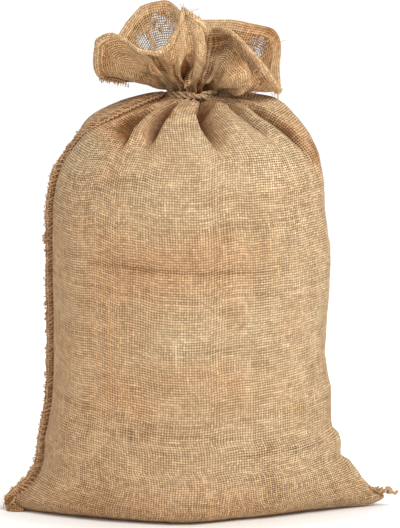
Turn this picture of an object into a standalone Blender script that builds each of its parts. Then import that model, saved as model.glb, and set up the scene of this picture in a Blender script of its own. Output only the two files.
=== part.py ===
"""A filled burlap sack standing on its flat bottom, its neck tied with twine under an open ruffled mouth.

Metres, +Z up. The front faces -Y. The origin is on the floor under the middle of the sack.
Angles round the sack are in degrees: 0 is the right side, -90 the front, 90 the back, and
the side seam is at 180, the left side.
"""

from collections import namedtuple

import bmesh
import bpy
import numpy as np
from mathutils import Vector

# The cloth, and how many lines and rows it is drawn with
CLOTH_THICKNESS = 0.0024
LINES_ROUND = 66
STEPS_PER_LEVEL = 2
MOUTH_STEPS = 11

# The side seam's standing edge. SEAM_SPAN is how far round the sack, in degrees, the cloth
# swings with it, SEAM_LEAST what is left of the edge under the tie and in the mouth.
SEAM_THICKNESS = 0.0030
SEAM_WIDTH = 0.0095
SEAM_LEAST = 0.0005
SEAM_SPAN = 80.0
SEAM_UPRIGHT = 0.5

# The neck under the tie, an oval
NECK_HALF_WIDTH = 0.0245
NECK_HALF_DEPTH = 0.0200
NECK_HALF_TURN = 177.0
NECK_BOTTOM = 0.4020
NECK_LOWEST_ROW = 0.4032
NECK_TOP = 0.4112

# Inside the mouth. Shares are of the way from the neck to the hem: the cloth starts to close
# in at THROAT_CLOSES and is gathered shut from THROAT_ENDS down, at the floor of the throat.
THROAT_FLOOR = 0.4220
THROAT_STEPS = 4
THROAT_CLOSES = 0.55
THROAT_ENDS = 0.18
THROAT_PULL = 0.45
THROAT_CURVE = 1.5
MOUTH_FLARE = 0.25

# The tie: two turns of twine one on the other
TWINE_RADIUS = 0.0018
TIE_CLEARANCE = 0.0006
TIE_HEIGHT = 0.4066
TIE_STEPS = 48
TIE_SIDES = 5
TURN_OFFSET = 0.85
TURN_OUTLINE = 240.0
KNOT_ANGLE = 90.0
KNOT_SPREAD = 16.0
KNOT_SWELL = 0.0012

# The yarn end at the right corner
TAIL_DIAMETER = 0.0040
TAIL_STEP = 0.0020

# Levels of the filled body, from the floor to the tie. left, right, front and back are
# distances from the middle; pinch over 1 draws the sides out into flat corners. rise is how
# much higher the sides of the level lie than its front and back. seam_turn is how far the
# seam has swung from the left side towards the front, in degrees; seam_width is the share of
# SEAM_WIDTH that stands out there, and seam_lay how far it leans to the back.
Level = namedtuple("Level", "height left right front back pinch rise seam_turn seam_width seam_lay")
BODY_LEVELS = [
    Level(0.0000, 0.1690, 0.1770, 0.0690, 0.0690, 1.90, 0.0000, 0, 0.60, 0.0),
    Level(0.0050, 0.1765, 0.1857, 0.0800, 0.0800, 1.80, 0.0000, 0, 0.95, 0.0),
    Level(0.0130, 0.1715, 0.1835, 0.0850, 0.0850, 1.65, 0.0000, 0, 1.00, 0.0),
    Level(0.0250, 0.1590, 0.1735, 0.0875, 0.0875, 1.45, 0.0000, 0, 1.00, 0.0),
    Level(0.0400, 0.1480, 0.1600, 0.0890, 0.0890, 1.28, 0.0000, 0, 1.00, 0.0),
    Level(0.0500, 0.1440, 0.1500, 0.0900, 0.0900, 1.18, 0.0000, 0, 1.00, 0.0),
    Level(0.0630, 0.1430, 0.1485, 0.0905, 0.0905, 1.10, 0.0000, 0, 1.00, 0.0),
    Level(0.0800, 0.1405, 0.1410, 0.0910, 0.0910, 1.02, 0.0000, 0, 1.00, 0.0),
    Level(0.1150, 0.1355, 0.1375, 0.0910, 0.0910, 1.00, 0.0000, 0, 1.00, 0.0),
    Level(0.1600, 0.1345, 0.1315, 0.0910, 0.0910, 1.00, 0.0000, 0, 1.00, 0.0),
    Level(0.2100, 0.1345, 0.1345, 0.0900, 0.0900, 1.00, 0.0000, 0, 1.00, 0.0),
    Level(0.2500, 0.1355, 0.1360, 0.0890, 0.0890, 1.00, 0.0000, 0, 1.00, 0.0),
    Level(0.3000, 0.1340, 0.1300, 0.0850, 0.0850, 1.00, 0.0000, 0, 1.00, 0.1),
    Level(0.3280, 0.1300, 0.1280, 0.0800, 0.0800, 1.00, 0.0000, 0, 1.00, 0.2),
    Level(0.3480, 0.1205, 0.1240, 0.0730, 0.0730, 1.00, 0.0005, 3, 1.00, 0.4),
    Level(0.3620, 0.1130, 0.1190, 0.0650, 0.0650, 1.00, 0.0010, 12, 0.95, 0.5),
    Level(0.3740, 0.1080, 0.1110, 0.0560, 0.0560, 1.00, 0.0018, 30, 0.90, 0.5),
    Level(0.3850, 0.0980, 0.1010, 0.0460, 0.0460, 1.00, 0.0026, 42, 0.80, 0.5),
    Level(0.3930, 0.0820, 0.0890, 0.0375, 0.0375, 1.00, 0.0036, 46, 0.60, 0.4),
    Level(0.3985, 0.0610, 0.0670, 0.0300, 0.0300, 1.00, 0.0048, 44, 0.40, 0.3),
    Level(0.4008, 0.0410, 0.0440, 0.0245, 0.0245, 1.00, 0.0050, 36, 0.20, 0.2),
    Level(0.4013, 0.0325, 0.0335, 0.0225, 0.0225, 1.00, 0.0028, 22, 0.05, 0.0),
    Level(0.4015, 0.0265, 0.0265, 0.0208, 0.0208, 1.00, 0.0003, 6, 0.05, 0.0),
]

# A pleat is deepest a third of the way down: this makes its depth there the table's.
PLEAT_SCALE = 27 / 4

# Pleats of the shoulder: each runs from the tie, at angle_top, down to angle_end at height
# end, where it has faded. width is in degrees to each side, and depth is how far it sinks;
# a negative depth is a raised ridge.
Pleat = namedtuple("Pleat", "angle_top angle_end end width depth")
SHOULDER_PLEATS = [
    Pleat(-150, -158, 0.350, 10, 0.0060),
    Pleat(-122, -120, 0.335, 11, 0.0110),
    Pleat(-107, -106, 0.362, 7, 0.0100),
    Pleat(-94, -92, 0.330, 9, -0.0040),
    Pleat(-83, -80, 0.335, 9, 0.0100),
    Pleat(-60, -57, 0.360, 8, 0.0075),
    Pleat(-66, -24, 0.330, 9, 0.0080),
    Pleat(-12, -8, 0.345, 10, 0.0050),
    Pleat(14, 12, 0.340, 10, 0.0060),
    Pleat(40, 38, 0.345, 10, 0.0085),
    Pleat(66, 68, 0.340, 10, 0.0090),
    Pleat(92, 92, 0.345, 9, 0.0095),
    Pleat(118, 120, 0.340, 10, 0.0085),
    Pleat(146, 142, 0.350, 10, 0.0070),
]

# The mouth: where its hem stands, round from the seam by the front. angle is where the line
# leaves the neck, x, y and z where it ends at the hem, and belly and drop how far it swells
# outwards and sags between them.
Fold = namedtuple("Fold", "angle x y z belly drop")
MOUTH_FOLDS = [
    Fold(-180, -0.0905, -0.0050, 0.4250, 0.000, 0.000),
    Fold(-170, -0.0950, -0.0190, 0.4380, 0.003, 0.000),
    Fold(-160, -0.0935, -0.0320, 0.4560, 0.007, 0.001),
    Fold(-149, -0.0780, -0.0450, 0.4640, 0.010, 0.002),
    Fold(-139, -0.0650, -0.0530, 0.4570, 0.008, 0.001),
    Fold(-129, -0.0520, -0.0610, 0.4470, 0.005, 0.000),
    Fold(-119, -0.0390, -0.0640, 0.4455, 0.000, -0.002),
    Fold(-110, -0.0235, -0.0560, 0.4580, -0.006, 0.000),
    Fold(-102, -0.0150, -0.0480, 0.4760, 0.002, 0.000),
    Fold(-96, -0.0105, -0.0440, 0.4880, 0.006, 0.000),
    Fold(-90, -0.0010, -0.0450, 0.4810, 0.007, 0.000),
    Fold(-84, 0.0065, -0.0390, 0.4700, 0.004, 0.000),
    Fold(-78, 0.0070, -0.0210, 0.4650, -0.004, 0.000),
    Fold(-71, 0.0170, -0.0190, 0.4710, 0.000, 0.000),
    Fold(-60, 0.0280, -0.0340, 0.4700, 0.008, 0.000),
    Fold(-48, 0.0400, -0.0450, 0.4630, 0.013, 0.002),
    Fold(-36, 0.0530, -0.0490, 0.4490, 0.013, 0.002),
    Fold(-24, 0.0660, -0.0430, 0.4350, 0.009, 0.001),
    Fold(-12, 0.0775, -0.0290, 0.4220, 0.004, 0.002),
    Fold(0, 0.0865, -0.0090, 0.4120, 0.000, 0.001),
    Fold(13, 0.0865, 0.0120, 0.4300, 0.002, 0.001),
    Fold(27, 0.0895, 0.0290, 0.4570, 0.004, 0.000),
    Fold(41, 0.0850, 0.0400, 0.4760, 0.005, 0.000),
    Fold(56, 0.0620, 0.0460, 0.4800, 0.006, 0.000),
    Fold(72, 0.0380, 0.0450, 0.4835, 0.004, 0.000),
    Fold(87, 0.0150, 0.0400, 0.4830, -0.002, 0.000),
    Fold(101, -0.0060, 0.0420, 0.4900, 0.002, 0.000),
    Fold(115, -0.0240, 0.0480, 0.5025, 0.006, 0.000),
    Fold(128, -0.0445, 0.0490, 0.5020, 0.006, 0.000),
    Fold(141, -0.0600, 0.0430, 0.4840, 0.005, 0.002),
    Fold(155, -0.0730, 0.0310, 0.4640, 0.004, 0.001),
    Fold(168, -0.0850, 0.0130, 0.4430, 0.002, 0.001),
]

# The yarn end, from just outside the right corner outwards.
TAIL_ROUTE = [
    (0.1827, 0.0000, 0.0150),
    (0.1890, -0.0035, 0.0185),
    (0.1950, -0.0050, 0.0180),
    (0.2010, -0.0030, 0.0150),
    (0.2070, -0.0015, 0.0135),
    (0.2125, -0.0030, 0.0150),
]


def curve_through(places, values, at, period=None):
    """Values at the places asked for, on a smooth curve that doesn't overshoot its points."""
    places = np.asarray(places, float)
    values = np.asarray(values, float)
    if period:
        places = np.concatenate([places - period, places, places + period])
        values = np.concatenate([values, values, values])
    run = np.diff(places)
    slope = np.diff(values, axis=0) / run[:, None]
    turn = np.zeros_like(values)
    same_way = slope[:-1] * slope[1:] > 0
    mean = 2 * slope[:-1] * slope[1:] / np.where(same_way, slope[:-1] + slope[1:], 1)
    turn[1:-1] = np.where(same_way, mean, 0)
    turn[0], turn[-1] = slope[0], slope[-1]
    span = np.clip(np.searchsorted(places, at, side="right") - 1, 0, len(run) - 1)
    part = ((at - places[span]) / run[span])[:, None]
    width = run[span][:, None]
    start, end = values[span], values[span + 1]
    return (
        start * (1 + 2 * part) * (1 - part) ** 2
        + end * part**2 * (3 - 2 * part)
        + turn[span] * width * part * (1 - part) ** 2
        - turn[span + 1] * width * part**2 * (1 - part)
    )


def turned(angle, away):
    """The angle from away to angle, between -180 and 180."""
    return (angle - away + 180) % 360 - 180


def oval(angle, left, right, front, back, pinch=1.0):
    """x and y of points on an oval whose four half sizes differ."""
    across = np.cos(np.radians(angle))
    along = np.sin(np.radians(angle))
    x = np.where(across < 0, left, right) * across
    y = np.where(along < 0, front, back) * np.sign(along) * np.abs(along) ** pinch
    return x, y


def surface_normals(grid):
    """Outward normals of a grid of rows, each row closed round the sack."""
    round_way = np.roll(grid, -1, axis=1) - np.roll(grid, 1, axis=1)
    up_way = np.gradient(grid, axis=0)
    normal = np.cross(round_way, up_way)
    return normal / np.linalg.norm(normal, axis=2, keepdims=True)


def body_rows(angles):
    """The rows of the filled body and where the seam is on each."""
    table = np.array(BODY_LEVELS)
    count = len(BODY_LEVELS)
    steps = np.linspace(0, count - 1, (count - 1) * STEPS_PER_LEVEL + 1)
    levels = curve_through(np.arange(count), table, steps)
    grid = np.empty((len(levels), len(angles), 3))
    true_angles = np.empty((len(levels), len(angles)))
    for row, (height, left, right, front, back, pinch, rise, turn, _, _) in enumerate(levels):
        near_seam = np.clip(1 - (180 - np.abs(angles)) / SEAM_SPAN, 0, 1)
        seen = angles + turn * near_seam
        true_angles[row] = turned(seen, 0)
        grid[row, :, 0], grid[row, :, 1] = oval(seen, left, right, front, back, pinch)
        grid[row, :, 2] = height + rise * np.cos(np.radians(seen)) ** 2
    grid -= surface_normals(grid) * pleat_depth(grid[:, :, 2], true_angles)[:, :, None]
    return grid, levels


def pleat_depth(height, angle):
    """How far the shoulder sinks at each point."""
    depth = np.zeros_like(height)
    for pleat in SHOULDER_PLEATS:
        down = np.clip((NECK_BOTTOM - height) / (NECK_BOTTOM - pleat.end), 0, 1)
        middle = pleat.angle_top + (pleat.angle_end - pleat.angle_top) * down
        off = np.clip(np.abs(turned(angle, middle)) / pleat.width, 0, 1)
        along = PLEAT_SCALE * down * (1 - down) ** 2
        depth += pleat.depth * along * (1 - off) ** 2 * (1 + 2 * off)
    return depth


def mouth_rows(angles):
    """The outer rows of the cloth above the tie, from the neck to the hem."""
    table = np.array([fold[1:] for fold in MOUTH_FOLDS])
    places = np.array([fold.angle for fold in MOUTH_FOLDS])
    hem = curve_through(places, table, angles, period=360)
    x, y = oval(angles, NECK_HALF_WIDTH, NECK_HALF_WIDTH, NECK_HALF_DEPTH, NECK_HALF_DEPTH)
    neck = np.stack([x, y, np.full_like(x, NECK_TOP)], axis=1)
    outward = np.stack([x, y, np.zeros_like(x)], axis=1)
    outward /= np.linalg.norm(outward, axis=1, keepdims=True)
    rows = []
    for share in np.linspace(0, 1, MOUTH_STEPS):
        spread = share ** (1.0 - MOUTH_FLARE * (1 - share))
        point = neck + (hem[:, :3] - neck) * spread
        middle = 4 * share * (1 - share)
        point = point + outward * hem[:, 3:4] * middle
        point[:, 2] -= hem[:, 4] * middle
        rows.append(point)
    return np.array(rows)


def throat_rows(mouth):
    """The inner rows, from the hem back down into the gathered throat."""
    inner = mouth - surface_normals(mouth) * CLOTH_THICKNESS
    middle = np.array([0.0, 0.0, THROAT_FLOOR])
    rows = []
    for row, share in zip(inner[::-1], np.linspace(1, 0, MOUTH_STEPS)):
        if share < THROAT_ENDS:
            break
        shut = np.clip((THROAT_CLOSES - share) / (THROAT_CLOSES - THROAT_ENDS), 0, 1)
        rows.append(row + (middle - row) * THROAT_PULL * shut**THROAT_CURVE)
    last = rows[-1]
    for step in range(1, THROAT_STEPS):
        rows.append(last + (middle - last) * step / THROAT_STEPS)
    return np.array(rows)


def with_seam(grid, width, lay):
    """Adds the seam's standing edge, as two more lines between the last line and the first."""
    normal = surface_normals(grid)
    first, last = grid[:, 0], grid[:, -1]
    outward = normal[:, 0] + normal[:, -1]
    outward /= np.linalg.norm(outward, axis=1, keepdims=True)
    sideways = last - first
    sideways /= np.linalg.norm(sideways, axis=1, keepdims=True)
    way = outward * (1 - SEAM_UPRIGHT * lay[:, None]) + sideways * lay[:, None]
    way[:, 2] = np.maximum(way[:, 2], 0)
    way /= np.linalg.norm(way, axis=1, keepdims=True)
    reach = way * width[:, None]
    return np.concatenate([grid, (last + reach)[:, None], (first + reach)[:, None]], axis=1)


def make_material(name, colour, roughness):
    material = bpy.data.materials.new(name)
    material.use_nodes = True
    shader = material.node_tree.nodes["Principled BSDF"]
    shader.inputs["Base Color"].default_value = (*colour, 1)
    shader.inputs["Roughness"].default_value = roughness
    shader.inputs["Metallic"].default_value = 0.0
    return material


def add_object(name, points, faces, material):
    mesh = bpy.data.meshes.new(name)
    mesh.from_pydata([tuple(point) for point in points], [], faces)
    built = bmesh.new()
    built.from_mesh(mesh)
    bmesh.ops.recalc_face_normals(built, faces=built.faces)
    built.to_mesh(mesh)
    built.free()
    mesh.materials.append(material)
    mesh.shade_smooth()
    thing = bpy.data.objects.new(name, mesh)
    bpy.context.scene.collection.objects.link(thing)
    return thing


def lofted(rows):
    """Points and faces of rows joined one to the next, both ends closed."""
    count = rows.shape[1]
    points = rows.reshape(-1, 3)
    faces = [tuple(range(count))[::-1]]
    for row in range(len(rows) - 1):
        for line in range(count):
            after = (line + 1) % count
            low, high = row * count, (row + 1) * count
            faces.append((low + line, low + after, high + after, high + line))
    end = (len(rows) - 1) * count
    faces.append(tuple(range(end, end + count)))
    return points, faces


def build_sack(cloth):
    """One cloth: filled body, neck, open mouth and standing seam edge, as one solid."""
    seam_half = np.degrees(SEAM_THICKNESS / 2 / max(level.back for level in BODY_LEVELS))
    angles = np.linspace(-180 + seam_half, 180 - seam_half, LINES_ROUND)
    body, levels = body_rows(angles)
    body = with_seam(body, np.maximum(levels[:, 8] * SEAM_WIDTH, SEAM_LEAST), levels[:, 9])
    mouth = mouth_rows(np.linspace(-NECK_HALF_TURN, NECK_HALF_TURN, LINES_ROUND))
    inner = throat_rows(mouth)
    small = np.full(len(mouth), SEAM_LEAST)
    outer = with_seam(mouth, small, small * 0)
    low_neck = outer[:1].copy()
    low_neck[:, :, 2] = NECK_LOWEST_ROW
    gap = (inner[:, :1] - inner[:, -1:]) / 3
    inner = np.concatenate([inner, inner[:, -1:] + gap, inner[:, -1:] + 2 * gap], axis=1)
    rows = np.concatenate([body, low_neck, outer, inner])
    return add_object("sack", *lofted(rows), cloth)


def build_tie(twine):
    """Two turns of twine round the neck, one on the other, swelling into the knot behind."""
    angles = np.arange(TIE_STEPS) * 360 / TIE_STEPS
    swell = KNOT_SWELL * np.exp(-((turned(angles, KNOT_ANGLE) / KNOT_SPREAD) ** 2))
    outline = []
    for side in (1, -1):
        start = side * 90 - TURN_OUTLINE / 2
        for angle in np.radians(np.linspace(start, start + TURN_OUTLINE, TIE_SIDES)):
            outline.append((np.cos(angle), side * TURN_OFFSET + np.sin(angle)))
    rows = []
    for angle, extra in zip(angles, swell):
        radius = TWINE_RADIUS + extra / 2
        off = TIE_CLEARANCE + radius + SEAM_LEAST
        half_width, half_depth = NECK_HALF_WIDTH + off, NECK_HALF_DEPTH + off
        x, y = oval(angle, half_width, half_width, half_depth, half_depth)
        out = Vector((x, y, 0)).normalized()
        middle = Vector((x, y, TIE_HEIGHT))
        up = Vector((0, 0, 1))
        rows.append([middle + (out * across + up * along) * radius for across, along in outline])
    rows = np.array(rows)
    count = rows.shape[1]
    faces = []
    for step in range(TIE_STEPS):
        for side in range(count):
            here, there = step * count, (step + 1) % TIE_STEPS * count
            after = (side + 1) % count
            faces.append((here + side, here + after, there + after, there + side))
    return add_object("tie", rows.reshape(-1, 3), faces, twine)


def build_tail(yarn):
    """The loose knotted end of the seam's yarn, a round cord."""
    route = np.array(TAIL_ROUTE)
    run = np.concatenate([[0], np.cumsum(np.linalg.norm(np.diff(route, axis=0), axis=1))])
    at = np.linspace(0, run[-1], int(run[-1] / TAIL_STEP))
    points = curve_through(run, route, at)
    curve = bpy.data.curves.new("seam_tail", "CURVE")
    curve.dimensions = "3D"
    curve.bevel_depth = TAIL_DIAMETER / 2
    curve.bevel_resolution = 2
    curve.use_fill_caps = True
    spline = curve.splines.new("POLY")
    spline.points.add(len(points) - 1)
    for place, point in zip(spline.points, points):
        place.co = (*point, 1)
    curve.materials.append(yarn)
    tail = bpy.data.objects.new("seam_tail", curve)
    bpy.context.scene.collection.objects.link(tail)
    return tail


for old in list(bpy.data.objects):
    bpy.data.objects.remove(old, do_unlink=True)

build_sack(make_material("burlap", (0.60, 0.43, 0.25), 0.9))
build_tie(make_material("jute_twine", (0.45, 0.33, 0.20), 0.85))
build_tail(make_material("jute_yarn", (0.58, 0.42, 0.25), 0.9))
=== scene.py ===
import math
from collections import namedtuple
from functools import partialmethod

import bpy
import numpy as np
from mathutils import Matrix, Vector, noise


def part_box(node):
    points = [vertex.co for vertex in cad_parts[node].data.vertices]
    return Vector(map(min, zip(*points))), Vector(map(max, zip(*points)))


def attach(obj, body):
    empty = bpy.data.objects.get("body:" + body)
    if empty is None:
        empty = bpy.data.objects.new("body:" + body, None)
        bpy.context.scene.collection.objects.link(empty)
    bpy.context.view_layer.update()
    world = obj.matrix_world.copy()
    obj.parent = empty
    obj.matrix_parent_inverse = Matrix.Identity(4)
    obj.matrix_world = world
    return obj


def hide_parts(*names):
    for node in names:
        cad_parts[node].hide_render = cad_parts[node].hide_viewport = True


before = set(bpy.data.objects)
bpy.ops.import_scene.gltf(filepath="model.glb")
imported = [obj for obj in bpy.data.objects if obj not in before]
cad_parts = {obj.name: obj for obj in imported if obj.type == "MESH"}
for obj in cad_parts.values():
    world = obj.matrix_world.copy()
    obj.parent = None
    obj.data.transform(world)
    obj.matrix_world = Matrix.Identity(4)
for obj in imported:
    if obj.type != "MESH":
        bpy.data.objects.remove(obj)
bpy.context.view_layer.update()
tie_low, tie_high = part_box("tie")

# ---------------------------------------------------------------------------------------------
# The view and the studio: a camera just above the middle of the sack, a white floor that runs
# up into a white wall, soft light from all round and one lamp high on the right.
CAMERA_TARGET = (0.0078, 0.0, 0.2425)
CAMERA_DISTANCE = 1.6
CAMERA_TURN = math.radians(-3.0)
CAMERA_HEIGHT = 0.353
CAMERA_LENS = 111.6
LAMP_PLACE = (0.90, -1.40, 1.85)
LAMP_TARGET = (0, 0, 0.25)
LAMP_SIZE = 0.8
LAMP_POWER = 42
WHITE = (1.0, 1.0, 1.0, 1)
WARM_WHITE = (1.0, 0.965, 0.92, 1)
# The wall is white to the eye, and the light that it throws on the sack is softer
WALL_WHITE = 1.05
WALL_LIGHT = 0.69
FLOOR_REACH = 6.0
FLOOR_COLOUR = (0.92, 0.92, 0.92, 1)
# The floor glows white, as painted light, but not right beside the sack, where leaving the glow out
# paints its thin shadow deeper than the lamp alone makes it. The shade's two edges are in half
# widths and half depths of the sack's footprint.
FLOOR_GLOW = 0.55
FOOTPRINT = (0.190, 0.095)
SHADE_FROM = 0.9
SHADE_REACH = 1.5


def placed(name, data, place, target):
    """A camera or lamp at a place, turned to its target."""
    thing = bpy.data.objects.new(name, data)
    thing.location = place
    thing.rotation_euler = (Vector(target) - Vector(place)).to_track_quat("-Z", "Y").to_euler()
    bpy.context.scene.collection.objects.link(thing)
    return thing


def fill(tree, node, sockets):
    """Sets or links a node's sockets, which are given by name or in order. A wire of the cloth's
    material stands for its own socket."""
    named = sockets.items() if isinstance(sockets, dict) else enumerate(sockets)
    for name, value in named:
        value = getattr(value, "socket", value)
        if isinstance(value, bpy.types.NodeSocket):
            tree.links.new(value, node.inputs[name])
        else:
            node.inputs[name].default_value = value
    return node


def add_node(tree, kind, sockets=(), **settings):
    node = tree.nodes.new("ShaderNode" + kind)
    for name, setting in settings.items():
        setattr(node, name, setting)
    return fill(tree, node, sockets)


def new_material(name):
    """A new material, its node tree, and its shader."""
    material = bpy.data.materials.new(name)
    material.use_nodes = True
    return material, material.node_tree, material.node_tree.nodes["Principled BSDF"]


def new_piece(name, points, faces, material):
    mesh = bpy.data.meshes.new(name)
    mesh.from_pydata(np.asarray(points, float).tolist(), [], faces)
    mesh.shade_smooth()
    mesh.materials.append(material)
    piece = bpy.data.objects.new(name, mesh)
    bpy.context.scene.collection.objects.link(piece)
    return piece


lens = bpy.data.cameras.new("camera")
lens.lens = CAMERA_LENS
camera_x = CAMERA_TARGET[0] + math.sin(CAMERA_TURN) * CAMERA_DISTANCE
camera_y = -math.cos(CAMERA_TURN) * CAMERA_DISTANCE
camera = placed("camera", lens, (camera_x, camera_y, CAMERA_HEIGHT), CAMERA_TARGET)
bpy.context.scene.camera = camera
bpy.context.scene.view_settings.view_transform = "Standard"
lamp = bpy.data.lights.new("key_lamp", "AREA")
lamp.size = LAMP_SIZE
lamp.energy = LAMP_POWER
placed("key_lamp", lamp, LAMP_PLACE, LAMP_TARGET)

world = bpy.data.worlds.new("studio")
world.use_nodes = True
world_tree = world.node_tree
thrown = world_tree.nodes["Background"]
fill(world_tree, thrown, {"Color": WARM_WHITE, "Strength": WALL_LIGHT})
seen = add_node(world_tree, "Background", {"Color": WHITE, "Strength": WALL_WHITE})
ray = add_node(world_tree, "LightPath")
wall = add_node(world_tree, "MixShader", (ray.outputs["Is Camera Ray"], thrown.outputs[0], seen.outputs[0]))
fill(world_tree, world_tree.nodes["World Output"], {"Surface": wall.outputs[0]})
bpy.context.scene.world = world

floor_white, floor_tree, floor_shader = new_material("floor")
floor_where = add_node(floor_tree, "TexCoord").outputs["Object"]
floor_scale = (1 / FOOTPRINT[0], 1 / FOOTPRINT[1], 0)
floor_scaled = add_node(floor_tree, "Mapping", {"Vector": floor_where, "Scale": floor_scale})
floor_away = add_node(floor_tree, "VectorMath", (floor_scaled.outputs["Vector"],), operation="LENGTH")
# Painted light: the floor's glow, which fades out round the sack to paint its shadow
floor_glow = add_node(floor_tree, "MapRange", {
    "Value": floor_away.outputs["Value"], "From Min": SHADE_FROM, "From Max": SHADE_REACH,
    "To Max": FLOOR_GLOW,
}, interpolation_type="SMOOTHSTEP")
fill(floor_tree, floor_shader, {
    "Base Color": FLOOR_COLOUR, "Roughness": 0.9, "Emission Color": WHITE,
    "Emission Strength": floor_glow.outputs["Result"],
})
floor_corners = [(x * FLOOR_REACH, y * FLOOR_REACH, 0) for x, y in ((-1, -1), (1, -1), (1, 1), (-1, 1))]
floor = new_piece("floor", floor_corners, [(0, 1, 2, 3)], floor_white)

# ---------------------------------------------------------------------------------------------
# The loose end of the seam's yarn at the right bottom corner: soft jute yarn knotted twice and
# left lying out from the corner. It is a free cord of its own.
TAIL_ROUTE = np.array([
    (0.1725, -0.0015, 0.0200),
    (0.1795, -0.0060, 0.0195),
    (0.1855, -0.0075, 0.0186),
    (0.1910, -0.0060, 0.0172),
    (0.1955, -0.0050, 0.0174),
    (0.1985, -0.0040, 0.0154),
    (0.2010, -0.0035, 0.0138),
    (0.2040, -0.0045, 0.0158),
])
TAIL_PLY = 0.00095
TAIL_TWIST = 0.0062
# Where each knot lies along the yarn, how far its wrap stands out, and its half length. A knot
# is the yarn a little over twice round itself.
TAIL_KNOTS = ((0.0162, 0.0024, 0.0046), (0.0246, 0.0031, 0.0024))
KNOT_TURNS = 2.2
KNOT_FLAT = 0.9
KNOT_STEPS = 30
KNOT_YARN = 0.00118
KNOT_UNEVEN = 0.0002
LOWEST = 0.0003


def smooth_curve(places, values, at, period=None):
    """Values at the places asked for, on a smooth curve that doesn't overshoot its points."""
    places = np.asarray(places, float)
    values = np.asarray(values, float)
    if period:
        places = np.concatenate([places - period, places, places + period])
        values = np.concatenate([values, values, values])
    run = np.diff(places)
    slope = np.diff(values, axis=0) / run[:, None]
    turn = np.zeros_like(values)
    same_way = slope[:-1] * slope[1:] > 0
    mean = 2 * slope[:-1] * slope[1:] / np.where(same_way, slope[:-1] + slope[1:], 1)
    turn[1:-1] = np.where(same_way, mean, 0)
    turn[0], turn[-1] = slope[0], slope[-1]
    span = np.clip(np.searchsorted(places, at, side="right") - 1, 0, len(run) - 1)
    part = ((at - places[span]) / run[span])[:, None]
    width = run[span][:, None]
    return (
        values[span] * (1 + 2 * part) * (1 - part) ** 2
        + values[span + 1] * part**2 * (3 - 2 * part)
        + turn[span] * width * part * (1 - part) ** 2
        - turn[span + 1] * width * part**2 * (1 - part)
    )


def unit(vectors):
    return vectors / np.maximum(np.linalg.norm(vectors, axis=-1, keepdims=True), 1e-9)


def lengths_along(points):
    """How far each point lies along its line of points, from the line's start."""
    step = np.linalg.norm(np.diff(points, axis=0), axis=-1)
    return np.concatenate([np.zeros_like(step[:1]), np.cumsum(step, axis=0)])


def across_line(line, up):
    """Two directions across a line at each point, which turn as little as they can."""
    along = unit(np.gradient(line, axis=0))
    side = np.empty_like(line)
    side[0] = unit(np.cross(along[0], up))
    for step in range(1, len(line)):
        side[step] = unit(side[step - 1] - along[step] * (side[step - 1] @ along[step]))
    return side, np.cross(along, side)


def tube(line, radius, sides):
    """Points and faces of a closed tube round a line. radius is one number or one a point."""
    line = np.asarray(line, float)
    radius = np.broadcast_to(radius, len(line))[:, None, None]
    steep = abs(unit(line[1] - line[0])[2]) > 0.9
    side, other = across_line(line, (1, 0, 0) if steep else (0, 0, 1))
    angle = (np.arange(sides) * 2 * np.pi / sides)[None, :, None]
    ring = np.cos(angle) * side[:, None] + np.sin(angle) * other[:, None]
    faces = [tuple(range(sides))[::-1]]
    for low in range(0, (len(line) - 1) * sides, sides):
        for here in range(sides):
            after = (here + 1) % sides
            faces.append((low + here, low + after, low + sides + after, low + sides + here))
    faces.append(tuple(range((len(line) - 1) * sides, len(line) * sides)))
    return (line[:, None] + ring * radius).reshape(-1, 3), faces


def twisted(line, ply_radius, ply_offset, twist, sides):
    """Two plies twisted together round a line, as closed tubes."""
    side, other = across_line(line, (0.3, 0.2, 0.9))
    shapes = []
    for start in (0, np.pi):
        angle = (lengths_along(line) / twist * 2 * np.pi + start)[:, None]
        strand = line + ply_offset * (np.cos(angle) * side + np.sin(angle) * other)
        shapes.append(tube(strand, ply_radius, sides))
    return shapes


def piece_of_tubes(name, shapes, material):
    """One object of several shapes, none of it below the floor."""
    points, faces, count = [], [], 0
    for some_points, some_faces in shapes:
        points.append(some_points)
        faces += [tuple(count + corner for corner in face) for face in some_faces]
        count += len(some_points)
    points = np.concatenate(points)
    points[:, 2] = np.maximum(points[:, 2], LOWEST)
    return new_piece(name, points, faces, material)


def yarn_material(name, colour, dark):
    """Soft jute yarn: streaks of lighter and darker fibre."""
    material, tree, shader = new_material(name)
    where = add_node(tree, "TexCoord").outputs["Object"]
    fibres = add_node(tree, "TexNoise", {"Vector": where, "Scale": 900, "Detail": 4}).outputs["Fac"]
    shades = add_node(tree, "ValToRGB", (fibres,))
    for stop, place, shade in zip(shades.color_ramp.elements, (0.32, 0.66), (dark, colour)):
        stop.position = place
        stop.color = (*shade, 1)
    bump = add_node(tree, "Bump", {"Strength": 0.7, "Distance": 0.0004, "Height": fibres})
    fill(tree, shader, {
        "Base Color": shades.outputs["Color"], "Roughness": 0.9, "Sheen Weight": 0.05,
        "Normal": bump.outputs["Normal"],
    })
    return material


tail_run = lengths_along(TAIL_ROUTE)
tail_steps = np.linspace(0, tail_run[-1], 90)
tail_line = smooth_curve(tail_run, TAIL_ROUTE, tail_steps)
tail_shapes = twisted(tail_line, TAIL_PLY, TAIL_PLY * 0.95, TAIL_TWIST, 8)
tail_along = unit(np.gradient(tail_line, axis=0))
for place_along, girth, half_long in TAIL_KNOTS:
    turns = np.linspace(0, KNOT_TURNS * 2 * np.pi, KNOT_STEPS)[:, None]
    steps = place_along + np.linspace(-half_long, half_long, KNOT_STEPS)
    ahead = tail_along[np.argmin(np.abs(tail_steps - place_along))]
    beside = unit(np.cross(ahead, (0.1, 0.3, 1.0)))
    above = np.cross(beside, ahead) * KNOT_FLAT
    round_way = np.cos(turns) * beside + np.sin(turns) * above
    wrap = smooth_curve(tail_run, TAIL_ROUTE, steps) + girth * round_way
    tail_shapes.append(tube(wrap, KNOT_YARN + KNOT_UNEVEN * np.sin(turns[:, 0] * 1.7), 7))
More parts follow.
